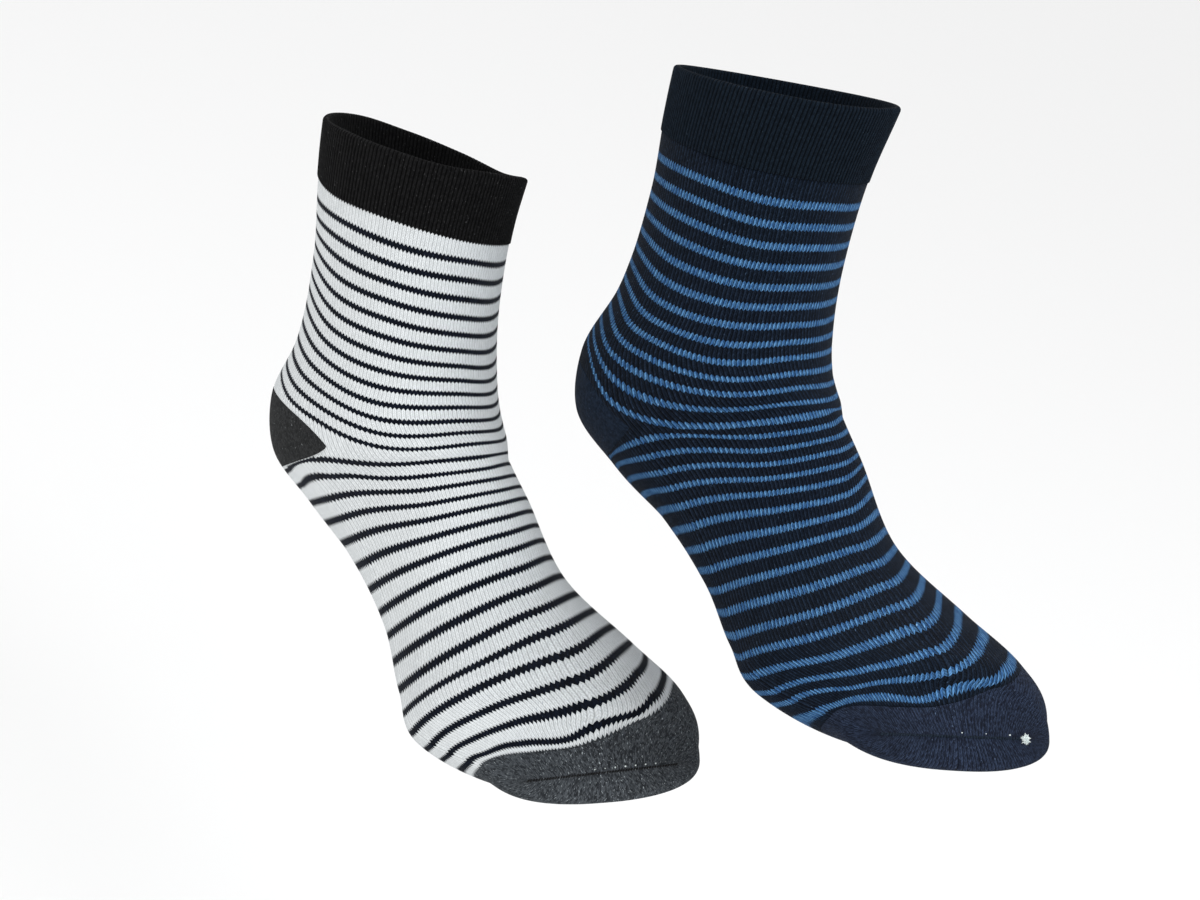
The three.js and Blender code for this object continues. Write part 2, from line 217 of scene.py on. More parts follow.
@dataclass(frozen=True)
class HeelPocket:
    """Outline of a heel pocket, as stations along the form in millimetres.

    Attributes:
        corner_angle: Angle from the back at which the pocket's two edges meet, in degrees.
        corner: Station of that corner.
        front: Station of the line between leg and foot at the front.
        rise: How far the pocket reaches above its corner, at the back.
        drop: How far it reaches below its corner, under the heel.
    """

    corner_angle: float
    corner: float
    front: float
    rise: float
    drop: float


@dataclass(frozen=True)
class StripeRow:
    """One stripe: its number, counted from the cuff, and its stations in millimetres.

    Attributes:
        number: Number of the stripe.
        back: Station at the back of the leg, or on the sole.
        inner_side: Station on the inner side.
        inner_front: Station between the inner side and the front.
        front: Station at the front of the leg, or on the instep.
        outer_front: Station between the front and the outer side.
        outer_side: Station on the outer side.
        outer_back: Station between the outer side and the back.
    """

    number: float
    back: float
    inner_side: float
    inner_front: float
    front: float
    outer_front: float
    outer_side: float
    outer_back: float

    def stations(self, angles: np.ndarray, toe: np.ndarray, toe_knots: np.ndarray) -> np.ndarray:
        """Station of the stripe at each angle, in metres.

        Args:
            angles: Angles in radians, from 0 to a full turn or within half a turn of 0.
            toe: Station of the toe cap's edge at each angle.
            toe_knots: Station of the toe cap's edge at each of STRIPE_ANGLES.

        Returns:
            A smooth closed curve through the row's stations. Near the toe it runs along the toe cap.
        """
        first, last = FOLLOW_TOE
        share = min(max((self.number - first) / (last - first), 0.0), 1.0)
        knots = np.array(list(STRIPE_ANGLES.values()), float)
        values = np.array([getattr(self, name) for name in STRIPE_ANGLES], float) * MM - share * toe_knots
        knots = np.concatenate([knots[-3:] - 360.0, knots, knots[:3] + 360.0])
        values = np.concatenate([values[-3:], values, values[:3]])
        return hermite(knots, values, np.degrees(angles) % 360.0) + share * toe


def knot_slopes(knots: np.ndarray, values: np.ndarray) -> np.ndarray:
    """Slopes of a smooth curve at its knots, weighted by the two spans beside each.

    Args:
        knots: Rising places of the values.
        values: One value, or one row of values, for each knot.

    Returns:
        A slope for each value.
    """
    spans = np.diff(knots).reshape(-1, *(1,) * (values.ndim - 1))
    rise = np.diff(values, axis=0) / spans
    middle = (rise[:-1] * spans[1:] + rise[1:] * spans[:-1]) / (spans[:-1] + spans[1:])
    return np.concatenate([rise[:1], middle, rise[-1:]])


def cubic(t: np.ndarray, span: np.ndarray | float, ends: tuple[np.ndarray, np.ndarray],
          slopes: tuple[np.ndarray, np.ndarray]) -> np.ndarray:
    """Cubic curve between two knots.

    Args:
        t: Share of the way from one knot to the next.
        span: Distance between the knots.
        ends: Values at the two knots.
        slopes: Slopes at the two knots.

    Returns:
        The curve's values.
    """
    return (
        (2 * t**3 - 3 * t**2 + 1) * ends[0] + (t**3 - 2 * t**2 + t) * span * slopes[0]
        + (3 * t**2 - 2 * t**3) * ends[1] + (t**3 - t**2) * span * slopes[1]
    )


def hermite(knots: np.ndarray, values: np.ndarray, at: np.ndarray) -> np.ndarray:
    """Smooth curve through values.

    Args:
        knots: Rising places of the values.
        values: One value, or one row of values, for each knot.
        at: Places at which the curve is wanted.

    Returns:
        One value, or one row of values, for each place.
    """
    slopes = knot_slopes(knots, values)
    i = np.clip(np.searchsorted(knots, at, side="right") - 1, 0, len(knots) - 2)
    span = knots[i + 1] - knots[i]
    t, span = (part.reshape(-1, *(1,) * (values.ndim - 1)) for part in ((at - knots[i]) / span, span))
    return cubic(t, span, (values[i], values[i + 1]), (slopes[i], slopes[i + 1]))


@dataclass(frozen=True)
class Crease:
    """A soft trough in the cloth, or a ridge where its depth is negative.

    Attributes:
        angle: Angle of its middle, in degrees.
        station: Station of its middle, in millimetres.
        reach: Half its length round the sock, in degrees.
        width: Half its width, in millimetres.
        depth: Its depth, in millimetres.
        lean: How far its station moves over its reach, in millimetres.
    """

    angle: float
    station: float
    reach: float
    width: float
    depth: float
    lean: float = 0.0


CREASES = (
    Crease(186, 112, 34, 3.2, 0.50, 2.0),
    Crease(172, 121, 26, 2.8, -0.35, -1.5),
    Crease(192, 130, 38, 3.4, 0.65, 2.5),
    Crease(176, 140, 30, 3.0, -0.40, -2.0),
    Crease(188, 152, 34, 3.8, 0.55, 2.0),
    Crease(202, 170, 24, 4.5, 0.35, 3.0),
    Crease(150, 164, 22, 4.0, 0.35, -3.0),
    Crease(8, 78, 30, 4.0, 0.45, 2.0),
    Crease(350, 92, 26, 3.6, -0.30, -2.0),
    Crease(4, 104, 34, 4.4, 0.55, 1.5),
    Crease(250, 128, 16, 5.0, 0.35, 6.0),
    Crease(110, 126, 16, 5.0, 0.40, -6.0),
    Crease(330, 196, 26, 6.0, 0.40, 5.0),
    Crease(30, 204, 24, 6.5, 0.45, -5.0),
    Crease(352, 232, 30, 7.0, -0.30, 3.0),
    Crease(236, 262, 20, 6.0, 0.35, 4.0),
)


@dataclass(frozen=True)
class SockCut:
    """What differs from one sock to the other.

    Attributes:
        name: Start of the names of its pieces.
        place: Place of its form's origin, in millimetres.
        turns: Its turns about X, Y and Z, in degrees.
        rim: Stations of the cuff's edge, every LINE_STEP degrees from the back, in millimetres.
        cuff_foot: Stations of the cuff's foot, in the same way.
        heel: Outline of its heel pocket.
        leg_stripes: Stripes of the leg.
        foot_stripes: Stripes of the foot.
        last_stripe: Stripe number at which the toe cap begins.
        finishes: Finishes of the cuff, body, heel and toe.
        flats: Width, length and area of each piece's cloth, laid flat.
        crease_shift: How far its creases lie round the sock from those of CREASES, in degrees.
        crease_depth: Depth of its creases, as a share of those of CREASES.
        loop_run: Shares of the toe seam between which pale loops show.
        loop_count: How many loops show.
        has_tuft: Whether a tuft of thread hangs from the seam's inner end.
    """

    name: str
    place: tuple[float, float, float]
    turns: tuple[float, float, float]
    rim: tuple[float, ...]
    cuff_foot: tuple[float, ...]
    heel: HeelPocket
    leg_stripes: tuple[StripeRow, ...]
    foot_stripes: tuple[StripeRow, ...]
    last_stripe: float
    finishes: dict[str, KnitFinish] = field(default_factory=dict)
    flats: dict[str, tuple[float, float, float | None]] = field(default_factory=dict)
    crease_shift: float = 0.0
    crease_depth: float = 1.0
    loop_run: tuple[float, float] = (0.45, 0.85)
    loop_count: int = 7
    has_tuft: bool = False


WHITE_SOCK = SockCut(
    name="white",
    place=(-32.9, 83.4, -210.9),
    turns=(1.1, -3.8, 1.4),
    rim=(7, 13, 19, 22, 18.5, 14.5, 10.8, 8.4, 5, 2.8, 3, 4),
    cuff_foot=(32, 38, 44, 46.5, 44, 39.5, 36, 32.8, 30.8, 30.6, 29.5, 30),
    heel=HeelPocket(108, 141, 153.5, 20, 10),
    leg_stripes=(
        StripeRow(1, 43, 53.5, 47.5, 43.5, 41, 39.5, 39.5),
        StripeRow(4, 66, 71, 70, 66, 63.5, 63, 60.5),
        StripeRow(7, 84.5, 87, 96, 91, 88.5, 85.5, 80),
        StripeRow(10, 102.5, 104.5, 121.5, 118, 116, 107, 101),
        StripeRow(12, 112, 114, 135.5, 134.5, 134, 120, 112.5),
        StripeRow(13, 116, 118.5, 142.5, 142.5, 142.5, 127, 117),
    ),
    foot_stripes=(
        StripeRow(14, 153, 153, 158, 163.5, 159, 148, 151.8),
        StripeRow(16, 165.5, 166.5, 179, 183, 181, 169.3, 166.6),
        StripeRow(19, 196, 195, 201.5, 205.5, 207, 204.5, 202.8),
        StripeRow(22, 231.5, 222.5, 224.5, 230.5, 237, 241.5, 241),
        StripeRow(25, 270, 249, 258.5, 270.5, 285.5, 290.5, 285),
        StripeRow(27, 291, 267.5, 284.5, 305.5, 315, 313, 307.5),
        StripeRow(28, 300, 281, 300, 322.5, 326, 321, 314.5),
        StripeRow(29, 309, 296, 317.5, 336.3, 337, 328.5, 321.5),
    ),
    last_stripe=29.5,
    finishes={
        "cuff": KnitFinish(
            "Charcoal rib", "charcoal_rib", CHARCOAL_RIB_YARN, groove=1.0, groove_from=0.3, bump=0.8, painted_gap_shade=0.9
        ),
        "body": KnitFinish(
            "Pale striped jersey", "pale_striped_knit", PALE_YARN, INK_YARN,
            start=CHARCOAL_RIB_YARN, end=MARL_YARN, last_course=206.5, painted_gap_shade=0.55, sheen=0.03, stripe_courses=2.3,
        ),
        "heel": KnitFinish("Charcoal heel marl", "charcoal_marl", HEEL_MARL_YARN, groove=0.5, bump=0.5),
        "toe": KnitFinish("Charcoal toe marl", "charcoal_marl", MARL_YARN, groove=0.7, bump=0.7, painted_gap_shade=0.6),
    },
    flats={
        "cuff": (0.27, 0.030, None), "body": (0.26, 0.27, 0.068), "heel": (0.18, 0.045, 0.0060),
        "toe": (0.22, 0.045, 0.0063),
    },
)

NAVY_SOCK = SockCut(
    name="navy",
    place=(40.9, -17.2, -136.8),
    turns=(-1.3, 2.5, -1.9),
    rim=(9.5, 9.5, 9.5, 9.5, 9.8, 10.6, 12, 12.6, 12.2, 11.3, 10.1, 9.6),
    cuff_foot=(39.5, 39, 38.5, 38, 37.5, 37, 37, 38, 39, 39, 39.5, 39.5),
    heel=HeelPocket(90, 155.6, 176, 28, 6.5),
    leg_stripes=(
        StripeRow(1, 51, 48.5, 45.5, 45.5, 48, 48.5, 49.5),
        StripeRow(4, 75, 72.5, 67.5, 68.5, 73, 74, 73),
        StripeRow(7, 93.5, 94, 94, 97, 103, 100.5, 93.5),
        StripeRow(10, 109, 113, 122.5, 127.5, 134, 123.5, 111.5),
        StripeRow(11, 114, 117.5, 131.5, 136, 142.5, 131.5, 117),
        StripeRow(12, 119.5, 122.5, 138, 147, 156, 141, 122),
        StripeRow(13, 125.5, 129, 148, 166, 169.5, 154.5, 127),
    ),
    foot_stripes=(
        StripeRow(14, 164, 163, 162, 177, 179, 163.5, 162.5),
        StripeRow(15, 167.5, 168, 174, 185.5, 188, 172.5, 167.5),
        StripeRow(16, 174, 174, 183, 193.5, 196, 182.5, 175.5),
        StripeRow(19, 200.5, 197, 202.5, 214.5, 217.5, 211.5, 206.5),
        StripeRow(22, 231, 224, 228, 240, 249, 246.5, 240),
        StripeRow(25, 266, 251, 256.5, 280, 299, 292.5, 279),
        StripeRow(27, 288, 270, 280, 314, 324.5, 315.5, 304),
        StripeRow(28, 298.5, 283, 297, 327, 332.6, 321.6, 311.5),
        StripeRow(29, 309, 297, 319.5, 336.9, 337.2, 330, 320.5),
    ),
    last_stripe=29.36,
    finishes={
        "cuff": KnitFinish("Navy rib", "navy_rib", NAVY_RIB_YARN, groove=1.0, groove_from=0.3, bump=0.8, painted_gap_shade=0.8),
        "body": KnitFinish(
            "Navy striped jersey", "navy_striped_knit", NAVY_YARN, BLUE_YARN,
            last_course=205.5, stripe_courses=2.2, groove=0.85, bump=0.7, painted_gap_shade=0.75, painted_arm_shade=0.45,
        ),
        "heel": KnitFinish("Navy heel jersey", "navy_knit", NAVY_YARN, groove=0.5, bump=0.5),
        "toe": KnitFinish(
            "Navy toe jersey", "navy_knit", NAVY_TOE_YARN, groove=0.9, bump=0.8, painted_gap_shade=0.7, painted_arm_shade=0.2
        ),
    },
    flats={
        "cuff": (0.27, 0.030, None), "body": (0.26, 0.27, 0.068), "heel": (0.18, 0.045, 0.0060),
        "toe": (0.22, 0.045, 0.0063),
    },
    crease_shift=-7.0,
    crease_depth=0.55,
    loop_run=(0.54, 0.86),
    loop_count=3,
    has_tuft=True,
)


class FootForm:
    """A smooth surface through a table of sections, wound by station and angle."""

    def __init__(self, rows: np.ndarray, knots: np.ndarray) -> None:
        """Keeps the sections and works out their slopes.

        Args:
            rows: One row for each section, with SECTION_COLUMNS in metres.
            knots: Station of each section.
        """
        self.rows = rows
        self.knots = knots
        self.slopes = knot_slopes(knots, rows)

    @classmethod
    def outside(cls) -> "FootForm":
        """Makes the outer surface of the wall.

        Returns:
            The form through SECTION_ROWS.
        """
        rows = np.array(SECTION_ROWS, float)
        for name in SCALED_COLUMNS:
            rows[:, SECTION_COLUMNS.index(name)] *= MM
        middles = (rows[:, 0:2] + rows[:, 2:4]) / 2
        steps = np.linalg.norm(np.diff(middles, axis=0), axis=1)
        return cls(rows, np.concatenate([[0.0], np.cumsum(steps)]))

    def drawn_in(self, wall: float) -> "FootForm":
        """The same form drawn in by a wall, for the hollow.

        Args:
            wall: Thickness of the wall.

        Returns:
            The form of the hollow, with the same stations.
        """
        rows = self.rows.copy()
        half = SECTION_COLUMNS.index("half")
        rows[:, half] -= wall * np.hypot(1.0, self.slopes[:, half])
        across = self.rows[:, 0:2] - self.rows[:, 2:4]
        for first, side in ((0, 1.0), (2, -1.0)):
            slope = self.slopes[:-1, first:first + 2]
            inward = np.stack([-slope[:, 1], slope[:, 0]], axis=1)
            inward /= np.linalg.norm(inward, axis=1)[:, None]
            turned = (inward * across[:-1]).sum(axis=1) * side > 0
            inward[turned] *= -1
            rows[:-1, first:first + 2] += inward * wall
        back = (self.rows[-2, 0:2] + self.rows[-2, 2:4]) / 2 - self.rows[-1, 0:2]
        back *= wall * TOE_CLOSE / np.linalg.norm(back)
        rows[-1, 0:2] += back
        rows[-1, 2:4] += back
        return FootForm(rows, self.knots)

    def points(self, station: np.ndarray, angle: np.ndarray) -> np.ndarray:
        """Points of the surface in the sock's own frame.

        Args:
            station: Stations along the form.
            angle: Angles round it in radians, from the back or sole towards the inner side.

        Returns:
            An array of points with one more axis than station.
        """
        station, angle = np.broadcast_arrays(np.asarray(station, float), np.asarray(angle, float))
        i = np.clip(np.searchsorted(self.knots, station, side="right") - 1, 0, len(self.knots) - 2)
        span = (self.knots[i + 1] - self.knots[i])[..., None]
        t = ((station - self.knots[i])[..., None]) / span
        row = cubic(t, span, (self.rows[i], self.rows[i + 1]), (self.slopes[i], self.slopes[i + 1]))
        front_x, front_z, back_x, back_z, half, shift, widest, back_power, front_power, slant = np.moveaxis(row, -1, 0)
        cosine, sine = np.cos(angle), np.sin(angle)
        power = 2.0 / np.where(cosine > 0, back_power, front_power)
        along = np.abs(cosine) ** power
        side = np.sign(sine) * np.abs(sine) ** power
        up = np.where(cosine > 0, widest * (1 - along), widest + (1 - widest) * along)
        forward = back_x + (front_x - back_x) * up + slant * side
        return np.stack([shift + half * side, -forward, back_z + (front_z - back_z) * up], axis=-1)

    @property
    def end(self) -> float:
        """Station of the toe seam."""
        return float(self.knots[-1])


OUTER = FootForm.outside()
HOLLOW = OUTER.drawn_in(WALL)


class WaleLines:
    """Lengths of cloth along the wale lines at given angles."""

    def __init__(self, angles: np.ndarray) -> None:
        """Measures the lines.

        Args:
            angles: Angle of each line in radians.
        """
        self.angles = angles
        stations = np.linspace(0.0, OUTER.end, LENGTH_STEPS + 1)[:, None]
        steps = np.linalg.norm(np.diff(OUTER.points(stations, angles[None, :]), axis=0), axis=2)
        self.lengths = np.vstack([np.zeros(len(angles)), np.cumsum(steps, axis=0)])
        self.stations = np.broadcast_to(stations, self.lengths.shape)

    def read(self, wanted: np.ndarray, places: np.ndarray, values: np.ndarray) -> np.ndarray:
        """Reads a table of its own on each line.

        Args:
            wanted: Places at which it is read, one column for each line.
            places: Rising places of the values, one column for each line.
            values: The values at those places.

        Returns:
            A value for each wanted place.
        """
        wanted = np.atleast_2d(wanted)
        columns = [np.interp(wanted[:, k], places[:, k], values[:, k]) for k in range(len(self.angles))]
        return np.stack(columns, axis=1)

    def length(self, station: np.ndarray) -> np.ndarray:
        """Length of cloth from the start of each line to a station, the last axis being the lines."""
        return self.read(station, self.stations, self.lengths)

    def station(self, length: np.ndarray) -> np.ndarray:
        """Station at a length of cloth on each line, the last axis being the lines."""
        return self.read(length, self.lengths, self.stations)


def around_line(values: tuple[float, ...], angles: np.ndarray) -> np.ndarray:
    """Smooth closed curve through values that stand every LINE_STEP degrees.

    Args:
        values: The values, in millimetres.
        angles: Angles in radians.

    Returns:
        The curve at those angles, in metres.
    """
    table = np.array(values, float) * MM
    count = len(table)
    place = (np.degrees(angles) / LINE_STEP) % count
    i = np.floor(place).astype(int)
    t = place - i
    before, here, there, after = (table[(i + k) % count] for k in (-1, 0, 1, 2))
    return cubic(t, 1.0, (here, there), ((there - before) / 2, (after - here) / 2))


def from_back(angles: np.ndarray) -> np.ndarray:
    """Angle from the back, the same on the inner and the outer side."""
    return np.abs(np.arctan2(np.sin(angles), np.cos(angles)))


def heel_line(heel: HeelPocket, angles: np.ndarray, edge: Edge) -> np.ndarray:
    """Stations of the line where leg and foot meet: a front stretch, and the pocket's two edges.

    Args:
        heel: The pocket's outline.
        angles: Angles in radians.
        edge: Which edge of the pocket is followed round the back.

    Returns:
        A station for each angle, in metres.
    """
    corner = math.radians(heel.corner_angle)
    away = from_back(angles)
    share = np.clip((away - corner) / (math.pi - corner), 0, 1)
    front = heel.corner + (heel.front - heel.corner) * np.sin(share * math.pi / 2)
    reach = (1 - np.clip(away / corner, 0, 1) ** POCKET_ACROSS) ** (1 / POCKET_ALONG)
    back = heel.corner - heel.rise * reach if edge is Edge.UPPER else heel.corner + heel.drop * reach
    return np.where(away >= corner - ANGLE_SLACK, front, back) * MM


def crease_relief(cut: SockCut, station: np.ndarray, angles: np.ndarray) -> np.ndarray:
    """How far the creases move the cloth outwards.

    Args:
        cut: The sock.
        station: Stations in metres.
        angles: Angles in radians, of the same shape.

    Returns:
        The move at each place, in metres.
    """
    relief = np.zeros_like(station)
    for crease in CREASES:
        turn = np.degrees(angles) - crease.angle - cut.crease_shift
        turn = (turn + 180.0) % 360.0 - 180.0
        middle = (crease.station + crease.lean * turn / crease.reach) * MM
        across = (station - middle) / (crease.width * MM)
        relief -= cut.crease_depth * crease.depth * MM * np.exp(-across**2) * np.exp(-((turn / crease.reach) ** 2))
    return relief


def even_angles(count: int) -> np.ndarray:
    """Angles that divide a full turn evenly."""
    return np.arange(count) * 2 * math.pi / count


def put(name: str, data: bpy.types.ID) -> bpy.types.Object:
    """Makes an object and adds it to the scene.

    Args:
        name: Its name.
        data: Its mesh, camera or light.

    Returns:
        The object, at the origin.
    """
    made = bpy.data.objects.new(name, data)
    bpy.context.scene.collection.objects.link(made)
    return made


@dataclass
class Skin:
    """Collects grids of points into one closed mesh with a UV map of wales and courses.

    Attributes:
        points: Points of the grids so far.
        knit: Their wale and course numbers.
        quads: Faces so far, as indices of their corners.
        count: Number of points so far.
    """

    points: list[np.ndarray] = field(default_factory=list)
    knit: list[np.ndarray] = field(default_factory=list)
    quads: list[np.ndarray] = field(default_factory=list)
    count: int = 0

    def grid(self, points: np.ndarray, knit: np.ndarray) -> np.ndarray:
        """Adds a grid of points.

        Args:
            points: Points in rows and columns.
            knit: Wale and course numbers at those points.

        Returns:
            The index of each point, in the same rows and columns.
        """
        rows, columns = points.shape[:2]
        self.points.append(points.reshape(-1, 3))
        self.knit.append(knit.reshape(-1, 2))
        indices = np.arange(rows * columns).reshape(rows, columns) + self.count
        self.count += rows * columns
        return indices

    def sheet(self, indices: np.ndarray, closed: bool) -> None:
        """Fills a grid with quads.

        Args:
            indices: Index of each point, in rows and columns.
            closed: Whether its last column is joined to its first.
        """
        wrapped = np.concatenate([indices, indices[:, :1]], axis=1) if closed else indices
        corners = (wrapped[:-1, :-1], wrapped[:-1, 1:], wrapped[1:, 1:], wrapped[1:, :-1])
        self.quads.append(np.stack([c.ravel() for c in corners], axis=1))

    def _faces(self) -> tuple[np.ndarray, np.ndarray, np.ndarray]:
        """Merges the seams and turns the faces outwards.

        Returns:
            The points, the faces as indices of them, and the knit map at the faces' corners.
        """
        points, knit, quads = (np.vstack(part) for part in (self.points, self.knit, self.quads))
        steps = np.round(points / MERGE_STEP).astype(np.int64)
        _, first, merged = np.unique(steps, axis=0, return_index=True, return_inverse=True)
        points, faces, corner_knit = points[first], merged.ravel()[quads], knit[quads]
        triangles = np.concatenate([faces[:, [0, 1, 2]], faces[:, [0, 2, 3]]])
        a, b, c = (points[triangles[:, k]] for k in range(3))
        if (a * np.cross(b, c)).sum() < 0:
            faces, corner_knit = faces[:, ::-1], corner_knit[:, ::-1]
        wales = corner_knit[..., 0]
        wales += np.where(wales.max(axis=1, keepdims=True) - wales > WALES / 2, WALES, 0)
        return points, faces, corner_knit

    def _mesh(self, name: str) -> bpy.types.Mesh:
        """Makes the mesh, without faces that the merging has closed up.

        Args:
            name: Name of the mesh.

        Returns:
            A smooth mesh with the UV map knit.
        """
        points, faces, corner_knit = self._faces()
        loops, starts, uvs = [], [], []
        for face, corners in zip(faces.tolist(), corner_knit):
            kept = [k for k in range(4) if face[k] != face[k - 1]]
            if len(set(face)) < 3 or len(kept) != len(set(face)):
                continue
            starts.append(len(loops))
            loops.extend(face[k] for k in kept)
            uvs.extend(corners[k] for k in kept)
        mesh = bpy.data.meshes.new(name)
        mesh.vertices.add(len(points))
        mesh.vertices.foreach_set("co", points.astype(np.float32).ravel())
        mesh.loops.add(len(loops))
        mesh.loops.foreach_set("vertex_index", loops)
        mesh.polygons.add(len(starts))
        mesh.polygons.foreach_set("loop_start", starts)
        mesh.update(calc_edges=True)
        layer = mesh.uv_layers.new(name="knit")
        layer.data.foreach_set("uv", np.array(uvs, np.float32).ravel())
        mesh.polygons.foreach_set("use_smooth", [True] * len(starts))
        return mesh

    def build(self, name: str, place: Matrix) -> bpy.types.Object:
        """Makes the object, with merged seams and faces that point outwards.

        Args:
            name: Name of the object.
            place: Place of the sock's own frame.

        Returns:
            The object, at the origin, with its place in its mesh.
        """
        mesh = self._mesh(name)
        mesh.transform(place)
        whole = bmesh.new()
        whole.from_mesh(mesh)
        bmesh.ops.recalc_face_normals(whole, faces=whole.faces[:])
        LOG.info("%s: %d open or odd edges", name, sum(not edge.is_manifold for edge in whole.edges))
        whole.to_mesh(mesh)
        whole.free()
        mesh.update()
        return put(name, mesh)


class Graph:
    """Short hand for the nodes of one tree."""

    # Sockets of the mix node that hold its share, its two colours and its result
    MIX_SOCKETS = (0, 6, 7)
    MIX_RESULT = 2

    def __init__(self, tree: bpy.types.NodeTree) -> None:
        """Keeps the tree."""
        self.tree = tree

    def feed(self, socket: bpy.types.NodeSocket, value: object) -> None:
        """Gives an input its value.

        Args:
            socket: The input.
            value: A socket to link it to, a colour, or another plain value.
        """
        if isinstance(value, bpy.types.NodeSocket):
            self.tree.links.new(value, socket)
        elif isinstance(value, tuple) and len(value) == 3 and socket.type == "RGBA":
            socket.default_value = (*value, 1.0)
        else:
            socket.default_value = value

    def node(self, kind: str, values: dict[str | int, object] | None = None, **settings: object) -> bpy.types.Node:
        """Adds a node.

        Args:
            kind: Its type.
            values: Value of each input that is given one, by the input's name or number.
            settings: Value of each of its properties that is set.

        Returns:
            The node.
        """
        made = self.tree.nodes.new(kind)
        for key, value in settings.items():
            setattr(made, key, value)
        for label, value in (values or {}).items():
            self.feed(made.inputs[label], value)
        return made

    def math(self, operation: str, *values: object, clamp: bool = False) -> bpy.types.NodeSocket:
        """Adds a math node.

        Args:
            operation: What it does.
            values: Its inputs.
            clamp: Whether its result is kept between 0 and 1.

        Returns:
            Its output.
        """
        return self.node("ShaderNodeMath", dict(enumerate(values)), operation=operation, use_clamp=clamp).outputs[0]

    def smooth(self, value: object, low: object, high: object) -> bpy.types.NodeSocket:
        """Smooth step from 0 to 1 while a value goes from low to high."""
        inputs = dict(enumerate((value, low, high, 0.0, 1.0)))
        return self.node("ShaderNodeMapRange", inputs, interpolation_type="SMOOTHSTEP").outputs[0]

    def blend(self, share: object, first: object, second: object, mode: str = "MIX") -> bpy.types.NodeSocket:
        """Blend of two colours by a share."""
        inputs = dict(zip(self.MIX_SOCKETS, (share, first, second)))
        return self.node("ShaderNodeMix", inputs, data_type="RGBA", blend_type=mode).outputs[self.MIX_RESULT]

    def join(self, x: object, y: object, z: object = 0.0) -> bpy.types.NodeSocket:
        """A vector of three values."""
        return self.node("ShaderNodeCombineXYZ", dict(enumerate((x, y, z)))).outputs[0]

    def noise(self, vector: object, scale: float, detail: float) -> bpy.types.NodeSocket:
        """Soft noise at a place."""
        return self.node("ShaderNodeTexNoise", {"Vector": vector, "Scale": scale, "Detail": detail}).outputs[0]


